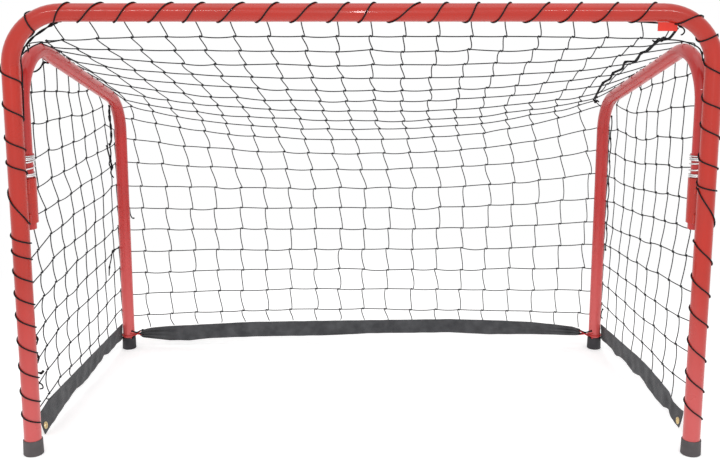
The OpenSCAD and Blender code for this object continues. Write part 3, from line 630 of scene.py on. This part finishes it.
# The left halves have the middle column's strands and knots.
for side, name, roof_columns, back_columns, taken in (
        (-1, "left", (0, MIDDLE), (0, MIDDLE), ()),
        (1, "right", (MIDDLE, FAR_EDGE), (MIDDLE, LAST), (MIDDLE,))):
    parts = net_parts(grid, roof_columns, (0, ROOF), (0, FAR_EDGE) + taken)
    roof = build(name + " half of the roof net", parts, twine)
    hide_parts("net_roof")
    fold(roof, side)
    parts = net_parts(grid, back_columns, (ROOF, HEM), (0, LAST, FAR_EDGE) + taken, (ROOF, HEM))
    back = build(name + " half of the back net", parts, twine)
    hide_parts("net_back")
    fold(back, side)

# ---------------- side nets
# Each side has its own flat piece of the same net, laced to the rail, the rear post and
# the front post, and sewn to the skirt. The left one has the more slack.

SIDE_OFF = 14.6 * MM
SIDE_COLUMNS, NET_FRONT, NET_REAR = 9, -8.0, 411.0


# In millimetres: a row's level is taken at LEVEL_AT, it lifts behind LIFT_FROM and droops
# in front of DROOP_TO. The lowest knots are sewn to the skirt along SEWN. A knot nearer
# the rail than UNDER_RAIL is left out, and the ties lie OVER_RAIL above its centre line.
LEVEL_AT, LIFT_FROM, DROOP_TO = 230, 290, 115
SEWN = ((0, 40, 400), (44, 39, 44))
BUNCH, RAISED, UNDER_RAIL, OVER_RAIL = 13, 8, -4, 11
UNEVEN_BACK, UNEVEN_UP = 1.6, 1.3


def side_knots(side, count, level, step, start, pitch, slope, lift, droop):
    """Knots of a side net as (columns, rows, 3), in millimetres in its plane until the last
    line. Column 2 hangs at start, and the others an even pitch apart, but row 1 is bunched
    from column 7 on. A row's height is its level, a step below the last one's, plus its
    slope and lift, less its droop. Rows above the rail are left out, and each column's top
    lies on the rail. The last five arguments are marks of (row, value)."""
    row = np.arange(count + 2)
    column = np.arange(SIDE_COLUMNS + 1)[:, None]
    marks = (start, pitch, slope, lift, droop)
    start, pitch, slope, lift, droop = (np.interp(row, *zip(*m)) for m in marks)
    d = start + pitch * (column - 2)
    d[7:, 1] -= BUNCH * (np.arange(7, SIDE_COLUMNS + 1) - 6)
    d = d + rng.normal(0, UNEVEN_BACK, d.shape)
    d[0] = NET_FRONT
    d = np.minimum(d, NET_REAR)
    z = level - step * (row - 2) + slope * (d - LEVEL_AT) + lift * np.maximum(d - LIFT_FROM, 0)
    z = z - droop * np.maximum(DROOP_TO - d, 0) + rng.normal(0, UNEVEN_UP, d.shape)
    if side > 0:
        z[0, 4:] += RAISED
    z[:, -1] = np.interp(d[:, -1], *SEWN)
    under = rail(d * MM, UNDER_RAIL * MM)[1] / MM
    first = (z[:, 1:] > under[:, 1:]).sum(1)[:, None]
    top_d, top_z = rail(np.take_along_axis(d, first, 1) * MM, OVER_RAIL * MM)
    d = np.where(row < first, np.nan, np.where(row == first, top_d / MM, d))
    z = np.where(row == first, top_z / MM, z)
    return beside(side, d * MM, z * MM, SIDE_OFF)


def slack(side, knots, amount):
    """The bow of the front columns' lower strands, forward and outward: greatest at the
    front column and gone by the sixth, and growing from row 4 to row 8."""
    column, row = np.meshgrid(*(np.arange(n) for n in knots.shape[:2]), indexing="ij")
    share = np.clip((5.5 - column) / 4, 0, 1) * np.clip((row - 4) / 4, 0, 1) * (column > 0)
    return amount * share[..., None] * np.array([side * 0.45, -1.0, 0.0]) * MM


left_knots = side_knots(
    -1, 12, 449, 38.8,
    ((1, 66), (4, 70), (5, 95), (6, 107), (8, 117), (12, 112)),
    ((1, 46), (2, 48), (4, 50), (5, 48), (7, 45), (8, 43.7)),
    ((1, -0.08), (2, -0.05), (3, 0.022), (4, 0.045), (6, 0.06), (11, 0.055), (13, 0.03)),
    ((1, 0), (2, 0.12), (3, 0.08), (4, 0)), ((5, 0), (6, 0.17), (11, 0.17), (13, 0.1)))
right_knots = side_knots(
    1, 11, 455, 41.7,
    ((1, 88), (2, 96), (5, 90), (6, 96), (8, 115), (11, 121)),
    ((1, 44), (2, 46), (5, 46.5), (7, 44), (11, 42.7)),
    ((1, -0.20), (2, -0.15), (7, -0.095), (8, -0.06), (11, 0.02)),
    ((1, 0.12), (2, 0.18), (3, 0.2), (6, 0.05), (8, 0)), ((0, 0), (1, 0)))
for side, name, knots, amount in ((-1, "left", left_knots, 5.0), (1, "right", right_knots, 2.0)):
    last = knots.shape[1] - 1
    belly = slack(side, knots, amount)
    parts = net_parts(knots, (0, SIDE_COLUMNS), (0, last), (), (0, last), belly)
    net = build(name + " side mesh", parts, twine)
    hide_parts(name + "_side_net")
    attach(net, name + "_side")

# ---------------- lacing
# One braided cord winds round the mouth frame, once in each mesh, and ties the net's
# edge to it. It makes one long turn past each hinge.

POST_X, BAR_Z, FRONT_Y, FRONT_R = 462 * MM, 612 * MM, -212.5 * MM, 12 * MM
BAR_HALF = POST_X - BEND_R
BEND_LEN = BEND_R * math.pi / 2
LACE_R, LACE_OFF, TURN_STEPS = 1.0 * MM, 1.05 * MM, 28
# A turn starts at the frame's inner side and first goes over the front. It comes into
# sight there, and goes out of sight at the outer side, after these shares of a turn.
CROSS_IN, CROSS_OUT = 0.03, 0.47
# Where each turn crosses the front, in millimetres up a post or along the bar: at the
# frame's inner side, then at its outer side
LEFT_TURNS = [
    (47, 61), (78, 95), (113, 132), (149, 169), (186, 205), (218, 236), (250, 267), (282, 295),
    (304, 316), (332, 376), (403, 416), (433, 449), (476, 494), (522, 538)]
BAR_TURNS = [
    (-404, -384), (-371, -341), (-323, -299), (-278, -249), (-233, -209), (-187, -157), (-137, -112),
    (-92, -62), (-44, -19), (-4, 14), (36, 74), (87, 108), (136, 150), (172, 191), (214, 242),
    (259, 284), (304, 331), (352, 379)]
RIGHT_TURNS = [
    (544, 527), (497, 484), (462, 447), (418, 406), (383, 376), (379, 329), (305, 274), (254, 228),
    (209, 185), (163, 135), (117, 91), (76, 51)]
# The turns on the bends, as shares of the bend from the bar
LEFT_BEND_TURNS, RIGHT_BEND_TURNS = [(0.42, 0.37)], [(0.18, 0.42), (0.62, 0.66)]
# Past the right hinge the cord crosses behind the post below the cross pin.
PIN_TURN, BELOW_PIN, PIN_EARLY = 6, 308, 0.28


def hoop(s):
    """A point of the mouth frame's centre line, and the way out of the hoop there, at a
    distance s from the middle of the bar: a straight, a quarter circle and a straight."""
    sign, d = np.sign(s), np.abs(s)
    a = np.clip((d - BAR_HALF) / BEND_R, 0, math.pi / 2)
    down = np.maximum(d - BAR_HALF - BEND_LEN, 0)
    x = np.minimum(d, BAR_HALF) + BEND_R * np.sin(a)
    z = BAR_Z - BEND_R * (1 - np.cos(a)) - down
    centre = np.stack([sign * x, np.full_like(x, FRONT_Y), z], 1)
    return centre, np.stack([sign * np.sin(a), np.zeros_like(x), np.cos(a)], 1)


def post_s(z):
    """Distance along the hoop from the middle of the bar to a height on a post."""
    return BAR_HALF + BEND_LEN + (BAR_Z - BEND_R) - z


mark_s = np.concatenate([
    -post_s(np.array(LEFT_TURNS) * MM), -(BAR_HALF + np.array(LEFT_BEND_TURNS) * BEND_LEN),
    np.array(BAR_TURNS) * MM, BAR_HALF + np.array(RIGHT_BEND_TURNS) * BEND_LEN,
    post_s(np.array(RIGHT_TURNS) * MM)])
mark_turn = (np.arange(len(mark_s))[:, None] + np.array([CROSS_IN, CROSS_OUT])).ravel()
pin = 2 * (len(mark_s) - len(RIGHT_TURNS) + PIN_TURN)
mark_s = np.insert(mark_s.ravel(), pin, post_s(BELOW_PIN * MM))
mark_turn = np.insert(mark_turn, pin, mark_turn[pin] - PIN_EARLY)
turn = np.arange(mark_turn[0], mark_turn[-1], 1 / TURN_STEPS)
centre, outer = hoop(np.interp(turn, mark_turn, mark_s))
angle = 2 * np.pi * turn[:, None]
radial = -np.cos(angle) * outer - np.sin(angle) * np.array([0, 1, 0])
path = centre + (FRONT_R + LACE_OFF) * radial
lace = build("lacing cord", [cords([path], LACE_R, 8, radial)], lacing)
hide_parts("front_lacing")
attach(lace, "front_frame")

# ---------------- corner, roof and seam cords
# Thicker braided cord, tied by hand, closes the net's corners: doubled and knotted at the
# bar's ends, along the roof beside the right rail, on both rails and down the rear posts.

CURVE_STEPS, CORD_SIDES = 8, 8
CORD_GUIDE = (0.21, 0.35, 0.91)


def through(points):
    """A smooth curve through points in millimetres, in metres: each stretch is a cubic
    whose slope at a point is half the way from the one before to the one after."""
    p = np.asarray(points, float) * MM
    p = np.concatenate([2 * p[:1] - p[1:2], p, 2 * p[-1:] - p[-2:-1]])
    t = np.linspace(0, 1, CURVE_STEPS, endpoint=False)[:, None, None]
    a, b, c, d = p[:-3], p[1:-2], p[2:-1], p[3:]
    curve = b + 0.5 * t * (c - a + t * (2 * a - 5 * b + 4 * c - d + t * (3 * (b - c) + d - a)))
    return np.concatenate([curve.transpose(1, 0, 2).reshape(-1, 3), p[-2:-1]])


def swollen(along, radius, knots, swell, reach):
    """A radius for each distance along a curve: it swells round the points numbered in
    knots, by the bell curve of the distance from them over reach."""
    thick = np.full(len(along), radius)
    for k in knots:
        thick += swell * radius * np.exp(-((along - along[k * CURVE_STEPS]) / reach) ** 2)
    return thick


def knotted(points, radius, knots=(), swell=0.9):
    """A cord through points, of a radius in millimetres, with a knot at each of the points
    numbered in knots."""
    line = through(points)
    thick = swollen(run_length(line, 0), radius * MM, knots, swell, 2.2 * MM)
    return cords([line], [thick], CORD_SIDES, CORD_GUIDE)


def doubled(points, radius, lay, knots=(), gap=0.85):
    """Two cords laid round each other along a line through points: each keeps gap times
    its radius off the line and turns round it once in each length of lay. Both swell at
    the knots. Radius and lay are in millimetres."""
    line = through(points)
    radius, lay = radius * MM, lay * MM
    ahead = unit(np.gradient(line, axis=0))
    normal = unit(np.cross(ahead, CORD_GUIDE))
    other = np.cross(ahead, normal)
    along = run_length(line, 0)
    thick = swollen(along, radius, knots, 0.8, 2.5 * MM)
    angle = 2 * np.pi * along[:, None] / lay
    off = gap * radius * (np.cos(angle) * normal + np.sin(angle) * other)
    return [cords([line + sign * off], [thick], CORD_SIDES, CORD_GUIDE) for sign in (-1, 1)]


def tied(name, body, *parts):
    """A piece of tied cord that stays on a body."""
    piece = build(name, parts, lacing)
    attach(piece, body)
    return piece


# Left corner: from a knot under the bar, across the bend, and thin down the post
piece = tied(
    "left corner cord doubled", "front_frame",
    *doubled([(-400, -205, 599), (-409, -204, 595.5), (-423, -203, 587), (-433, -203, 580),
              (-440, -203, 573), (-446, -203, 566), (-450, -203, 558)], 0.95, 40, (1,)),
    knotted([(-394, -206, 600), (-401, -205, 599), (-409, -204, 595.5)], 0.8, (2,), 0.5),
    knotted([(-450, -203, 558), (-451.5, -202.5, 548), (-451, -201.5, 536), (-451.5, -201, 520),
             (-452, -200.5, 500), (-453, -200, 470)], 0.9, (0,)),
    knotted([(-443, -203, 570), (-440, -204, 564), (-440.5, -205, 560)], 0.85, (0,), 0.5))
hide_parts("left_corner_cord")
# Right corner: the cord under the bar, and a knot at the bar's end with a curled tail
tied(
    "right corner cord", "front_frame",
    knotted([(338, -204, 602), (354, -204, 600.5), (371, -204, 599.5), (386, -204, 598.5),
             (400, -203, 598), (412, -203, 597), (418, -203, 594)], 1.2, (1, 5, 6), 0.8),
    knotted([(418, -203, 594), (422, -204, 591), (423.5, -204, 587), (421, -204, 583.5),
             (419, -204, 583)], 1.0, (0,)))


def edge_cord(side, name, column, points):
    """The net's front edge beside a corner: from the roof's first knot over the bend of
    the side frame to the front post. It folds with the roof."""
    points = [tuple(grid[column, 1] / MM)] + points
    part = knotted(points, 0.95, (0, len(points) - 2), 0.5)
    fold(build(name + " front edge cord", [part], lacing), side)


edge_cord(-1, "left", 2, [
    (-428, -158, 571.5), (-438, -156, 571), (-446, -166, 567), (-450, -185, 561), (-450, -201, 557)])
edge_cord(1, "right", LAST, [
    (415, -162, 575.5), (428, -158, 574.5), (437, -160, 573), (443, -176, 570), (446, -195, 566),
    (448.5, -202, 559), (450, -203, 549)])

# Right roof cord: from the corner down the roof's last column, stepped at each row. Two
# cords lie side by side in it, with a cluster of knots at the first row and at the last.
run = [(416, -199, 592), (416, -169, 578), (410, -160, 575), (404, -151, 572), (404, -114, 559),
       (399, -97, 554), (404, -56, 541), (390, -51, 539), (395, -16, 527), (388, 7, 519),
       (391, 36, 508), (385, 54, 500), (388, 97, 482), (399, 160, 466)]
roof_cord = []
for off in ((-0.7, 0, 0.5), (0.7, 0.5, -0.5)):
    roof_cord.append(knotted(np.array(run) + off, 1.05, (3, 5, 7, 9, 11, 13), 0.6))
roof_cord.append(knotted([
    (413, -165, 577), (410, -161, 578), (408, -159, 573.5), (405, -156, 577), (402, -152, 572),
    (399, -148, 574)], 1.1, (1, 2, 4), 0.6))
cluster = grid[LAST, ROOF] / MM + ((-3, -4, 3), (1, 0, -3), (5, 3, -1), (9, 6, -3))
roof_cord.append(knotted(cluster, 1.2, (0, 1, 2), 0.7))
piece = build("right roof cord doubled", roof_cord, lacing)
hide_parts("right_roof_cord")
fold(piece, 1)


# In millimetres: a seam's height over the rail's centre line, its way out, its winding
SEAM_OFF, SEAM_OUT, SEAM_SWING = 12.8, 3.0, 3.5


def seam(side, start, end, knots, radius, wander):
    """A cord laced along the rail from start to end, in millimetres back: it winds between
    the roof's edge, over the rail, and the side net, with a tie in each mesh."""
    back = np.linspace(start, end, 4 * knots + 1)
    phase = np.arange(len(back)) * np.pi / 2
    d, z = rail(back * MM, (SEAM_OFF + wander * np.cos(phase)) * MM)
    line = beside(side, d, z, (SEAM_OUT + SEAM_SWING * np.sin(phase)) * MM) / MM
    return knotted(line, radius, range(0, len(back), 4))


for side, name, start, end, wander in (
        (-1, "left", 140, 300, 0.9), (1, "right", 250, 385, 1.1)):
    piece = tied(
        name + " rail seam", name + "_side",
        seam(side, 46, 392, 9, 0.75, 0.5), seam(side, start, end, 4, 1.2, wander))
    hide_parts(name + "_seam_cord")


# In millimetres: the lacing's way out, and how far it winds outward and back
LACED_OUT, LACED_SWING, LACED_WANDER, CLOSER = 13.6, 0.8, 1.5, 0.5


def rear_lacing(side, low, high, ties, swing):
    """The cord that laces back and side nets to a rear post. It runs down the post's
    outer side from high to low, in millimetres, at swing behind or before the post's axis,
    and winds a little with a tie in each mesh. Behind the axis it lies closer in by CLOSER
    times swing, as the post is round."""
    z = np.linspace(high, low, 4 * ties + 1)
    phase = np.arange(len(z)) * np.pi / 2
    out = LACED_OUT - CLOSER * max(swing, 0) + LACED_SWING * np.sin(phase)
    back = SIDE_LEN / MM + swing + LACED_WANDER * np.cos(phase)
    line = beside(side, back * MM, z * MM, out * MM) / MM
    return knotted(line, 1.0, range(0, len(z), 4), 0.8)


tied(
    "left rear post lacing", "left_side", rear_lacing(-1, 34, 380, 9, 6.0),
    *doubled([(-437, 176, 452), (-440, 186, 432), (-440, 192, 410), (-441, 194, 388),
              (-444, 193, 381)], 1.2, 30, (1, 4)),
    knotted([(-448, 190, 380), (-447, 194, 368), (-445, 196, 356), (-446, 193, 346),
             (-443, 197, 338)], 1.2, (0, 2), 0.7),
    knotted([(-444, 194, 380), (-443, 196, 366), (-444, 196, 352), (-442, 198, 340),
             (-445, 197, 330), (-441, 199, 321)], 1.2, (2, 3), 0.7),
    knotted([(-439, 205, 191), (-448, 199, 187), (-451, 196, 172), (-454, 194, 158),
             (-455, 193, 143)], 1.05, (1, 3)))
tied(
    "right rear post lacing", "right_side",
    rear_lacing(1, 34, 420, 10, 4.0), rear_lacing(1, 185, 430, 6, -4.0),
    knotted([(439, 200, 78), (435, 193, 74), (434, 191, 66), (438, 196, 62)], 1.05, (0,), 0.6))

# Cut tails: one hooks forward of the left rear post, one lies inside the top of the left
# side net, and small ones stay at the left front post.

tied(
    "left tails", "left_side",
    knotted([(-421, 224, 262), (-420, 224, 250), (-417, 223, 243), (-413, 223, 242)],
            1.05, (3,), 0.5),
    knotted([(-465, -128, 530), (-464, -112, 529), (-462, -96, 533), (-460, -86, 540),
             (-455, -80, 539)], 1.25, (3,), 0.8))
nubs = [[(-455, -202, z + 9), (-451.5, -201, z), (-453, -202, z - 8)] for z in (164, 137)]
tied(
    "left front nubs", "front_frame", *(knotted(nub, 1.1, (1,), 0.7) for nub in nubs),
    knotted([(-453, -202, 115), (-449, -201, 114), (-446, -201, 117)], 1.1, (1, 2), 0.8),
    knotted([(-454, -202, 101), (-449, -201, 97), (-448, -201, 92), (-452, -202, 91)],
            1.0, (0,), 0.6))

# ---------------- skirts
# A band of woven polyester is sewn to the net's lower edge all round, 1 mm thick. The
# side bands end in a brass eyelet at the front, and the back one is gathered by ties.

CLOTH_T, THREAD = 1.0 * MM, 0.9 * MM


def corners_of(grid):
    """The values at the four corners of each square of a grid, in turn round it."""
    return grid[:-1, :-1], grid[1:, :-1], grid[1:, 1:], grid[:-1, 1:]


def sheet_part(points, cut=None):
    """A sheet of cloth from a grid of points, (n, m, 3): two layers half a thickness to
    each side along the surface's normal, closed by a rim round every edge. The squares
    marked in cut, (n - 1, m - 1), are left out. Its corner coordinates are the lengths
    along the grid's two directions."""
    n, m = points.shape[:2]
    normal = unit(np.cross(np.gradient(points, axis=0), np.gradient(points, axis=1)))
    layers = np.concatenate([(points + s * CLOTH_T / 2 * normal).reshape(-1, 3) for s in (1, -1)])
    flat = np.stack([run_length(points, 0), run_length(points, 1)], 2)
    flat = np.tile(flat.reshape(-1, 2), (2, 1))
    index = np.arange(n * m).reshape(n, m)
    kept = np.ones((n - 1, m - 1), bool) if cut is None else ~cut
    a, b, c, d = (q[kept] for q in corners_of(index))
    over = np.concatenate([np.stack([a, b, c], 1), np.stack([a, c, d], 1)])
    under = over[:, ::-1] + n * m
    sides = np.concatenate([over[:, [0, 1]], over[:, [1, 2]], over[:, [2, 0]]])
    near, far = sides[~np.isin(sides @ (n * m, 1), sides @ (1, n * m))].T
    edge = [np.stack([near, near + n * m, far], 1), np.stack([far, near + n * m, far + n * m], 1)]
    used, faces = np.unique(np.concatenate([over, under] + edge), return_inverse=True)
    faces = faces.reshape(-1, 3)
    return layers[used], faces, flat[used][faces].reshape(-1, 2)


def woven(name, dark, light):
    """Plain weave: threads both ways, from sines of the cloth's own lengths, stand up where
    they cross over and are painted lighter there and darker between them, a painted shade; the dye is cloudy."""
    material, shader, coords = surface(
        name, 0.85, Specular_IOR_Level=0.2, Sheen_Weight=0.15, Sheen_Roughness=0.5)
    uv = add(shader, "UVMap", {"uv_map": "cord"}).outputs[0]
    parts = add(shader, "SeparateXYZ", s0=uv).outputs
    warp, weft = (sine(parts[k], 2 * math.pi / THREAD) for k in (0, 1))
    weave = add(shader, "Math", {"operation": "MULTIPLY"}, s0=warp, s1=weft).outputs[0]
    # Painted shade: the cloth is lighter on the raised crossings and darker between them
    shade_by(shader, weave, 0.2, noise(coords, 60.0, 5.0), dark, light)
    relief(shader, weave, 0.00008)
    return material


skirt_cloth = woven("woven skirt cloth", (0.044, 0.045, 0.049, 1), (0.084, 0.086, 0.091, 1))


def band(top, low, inward, folds):
    """A side skirt as points in its plane: (distance back, height, distance inward) in
    millimetres. top and low are marks of (distance back, height), inward of (distance
    back, how far the lower edge hangs inward), and folds of (distance back, depth) of
    the slanting folds, which follow a sine along the band and fade at the seam."""
    v = np.linspace(0, 1, 25)[None]
    back_low, back_top = (np.linspace(m[0][0], m[-1][0], 361)[:, None] for m in (low, top))
    d = back_low + v * (back_top - back_low)
    low_z = np.interp(back_low, *zip(*low)) + 0.9 * np.sin(back_low / 7.0) * np.sin(back_low / 31.0)
    z = low_z + v * (np.interp(back_top, *zip(*top)) - low_z)
    hang = (1 - v) ** 1.5
    wave = np.sin(d / 8.5 + 2.2 * v) + 0.6 * np.sin(d / 5.1 - 3.0 * v + 1.0)
    wave = wave * (0.35 + 0.65 * hang) * (0.28 + 0.7 * np.sin(np.pi * v) ** 0.8)
    return d, z, np.interp(d, *zip(*inward)) * hang + np.interp(d, *zip(*folds)) * wave


LEFT_BAND = band(
    top=((30, 33), (48, 37), (66, 41), (384, 43), (409, 43)),
    low=((33, 1.5), (50, 2.5), (65, 5), (105, 8), (147, 12), (169, 15), (200, 11), (236, 13),
         (286, 17), (306, 20), (337, 15), (372, 17), (409, 14)),
    inward=((30, 6), (65, 5), (120, 2), (409, 0)),
    folds=((30, 0.2), (70, 0.6), (150, 1.6), (200, 2.0), (260, 1.0), (300, 1.8), (409, 0.8)))
RIGHT_BAND = band(
    top=((36, 35), (62, 34), (74, 34), (90, 43), (126, 46), (168, 49), (212, 50), (258, 48),
         (307, 46), (359, 44), (409, 42)),
    low=((37, 10), (52, 8), (66, 13), (80, 19), (100, 14), (122, 13), (163, 16), (186, 21),
         (208, 22), (236, 16), (254, 19), (288, 21), (320, 15), (355, 18), (409, 15)),
    inward=((36, 5), (65, 4), (120, 2), (409, 0)),
    folds=((36, 1.2), (75, 2.6), (120, 1.2), (208, 2.2), (260, 1.4), (409, 1.2)))
EYELET_AT, EYELET_R, EYELET_WIRE = (8, 7), 4.4 * MM, 1.2 * MM
HOLE_R = EYELET_R - EYELET_WIRE + 0.3 * MM
brass = two_tone(
    "eyelet brass", 0.28, (0.58, 0.44, 0.22, 1), (0.78, 0.64, 0.36, 1), 300.0, metallic=1.0)[0]
for side, name, marks, long in ((-1, "left", LEFT_BAND, 0.379), (1, "right", RIGHT_BAND, 0.373)):
    back, height, inside = marks
    points = beside(side, back * MM, height * MM, SIDE_OFF - inside * MM)
    k, j = EYELET_AT
    hole = points[k, j]
    cut = np.logical_or.reduce(corners_of(np.linalg.norm(points - hole, axis=2) < HOLE_R))
    skirt = build(name + " side skirt", [sheet_part(points, cut)], skirt_cloth)
    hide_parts(name + "_skirt")
    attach(skirt, name + "_side")
    # The eyelet is a rolled ring of brass on both faces of the band's front end.
    level = unit(points[k + 1, j] - hole)
    facing = unit(np.cross(level, points[k, j + 1] - hole))
    turn = np.linspace(0, 2 * np.pi, 33)[:, None]
    ring = hole + EYELET_R * (np.cos(turn) * level + np.sin(turn) * np.cross(facing, level))
    rings = [cords([ring + lift * MM * facing], EYELET_WIRE, 8, facing) for lift in (-0.7, 0.7)]
    eyelet = build(name + " brass eyelet", rings, brass)
    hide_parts(name + "_eyelet")
    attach(eyelet, name + "_side")

# The back skirt's upper and lower edge, as (across, height) in millimetres
BACK_TOP = (
    (-410, 25), (-405, 30), (-390, 34), (-355, 38), (-281, 42), (-207, 46), (-59, 48.5), (90, 50.5),
    (164, 51.5), (238, 49.5), (312, 46), (349, 42), (390, 36), (405, 31))
BACK_LOW = (
    (-410, 21), (-405, 17), (-390, 15), (-355, 11), (-318, 11), (-281, 15), (-207, 17), (-59, 21),
    (16, 24), (90, 24.5), (164, 26.5), (238, 22.5), (312, 22), (397, 20), (405, 21))


# Where the gather starts off the middle, and its length, in millimetres
GATHER_FROM, GATHER_LONG = 330, 75


def back_band(end):
    """The back skirt from the middle to an end: its edges follow the marks. Sines give it a
    slow billow and fine creases, and pleats take up its width where it is gathered."""
    x = end * np.linspace(0, 1, 241)[:, None]
    v = np.linspace(0, 1, 21)[None]
    near = np.clip((np.abs(x) - GATHER_FROM) / GATHER_LONG, 0, 1)
    low, top = np.interp(x, *zip(*BACK_LOW)), np.interp(x, *zip(*BACK_TOP))
    z = low + v * (top - low)
    pleats = 2.4 * np.sin(2 * np.pi * 3.2 * v + 0.6 * np.sign(end)) + np.sin(2 * np.pi * 6.2 * v)
    billow = 1.6 * np.sin(x / 41) * (1 - v)
    crease = 0.5 * np.sin(x / 6.5 + 6 * v) * np.sin(x / 37 + 1)
    y = BACK_Y / MM - 1.5 + pleats * near + (billow + crease) * (1 - near)
    return np.stack(np.broadcast_arrays(x, y, z), -1) * MM


for side, name, long in ((-1, "left", 0.410), (1, "right", 0.405)):
    # The left half runs the other way, so its rows are turned to face the same way.
    points = back_band(side * long / MM)[:, ::side]
    half = build(name + " half of the back skirt", [sheet_part(points)], skirt_cloth)
    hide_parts("back_skirt")
    fold(half, side)

# ---------------- ties
# A red plastic-coated wire goes round each rear post, crosses itself with a black cord,
# and gathers the end of the back skirt.

tie_red = surface("red tie", 0.35, Base_Color=(0.52, 0.022, 0.020, 1), Specular_IOR_Level=0.4)[0]
# In millimetres: the wire's radius, the rear post's place and radius, the ties' height
TIE_R, REAR_Y, SIDE_R, TIE_Z = 1.0, 212.5, 10.5, 26.0
for side, name, end in ((-1, "left", 410), (1, "right", 405)):
    round_r = SIDE_R + 0.3 + TIE_R
    turn = np.linspace(0, 2 * np.pi, 33)
    loop = np.stack([side * REAR_X / MM + round_r * np.cos(turn), REAR_Y + round_r * np.sin(turn),
                     np.full(33, TIE_Z)], 1) * MM
    wires, black = [cords([loop], TIE_R * MM, 8)], []
    # Wire and cord cross half way from the post's inner side to the end of the cloth.
    middle = side * 0.5 * (end + 419)
    for lean in (-1, 1):
        wire = [(side * 423, 202, TIE_Z + 4.5 * lean), (middle, 216, TIE_Z - 1),
                (side * (end - 2), 221, TIE_Z - 4 * lean)]
        cord = [(side * 421, 204, TIE_Z + 2 + 7 * lean), (middle, 217.5, TIE_Z + 1),
                (side * (end - 6), 222, TIE_Z + 1 - 5 * lean)]
        wires.append(knotted(wire, TIE_R))
        black.append(knotted(cord, 1.2, (0, 1), 0.5))
    tie = build(name + " crossed tie", wires, tie_red)
    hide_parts(name + "_tie")
    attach(tie, name + "_side")
    tied(name + " gather cord", name + "_side", *black)

# ---------------- tab
# A small bare tab of bright red plastic. It is moulded, and is hooked under the bar near
# its right-hand end.

tab, shader, coords = two_tone(
    "red tab plastic", 0.5, (0.760, 0.045, 0.028, 1), (0.700, 0.040, 0.026, 1), 120.0, 3.0,
    Specular_IOR_Level=0.3)
relief(shader, noise(coords, 900.0), 0.00005)
finish(["top_tab"], tab)
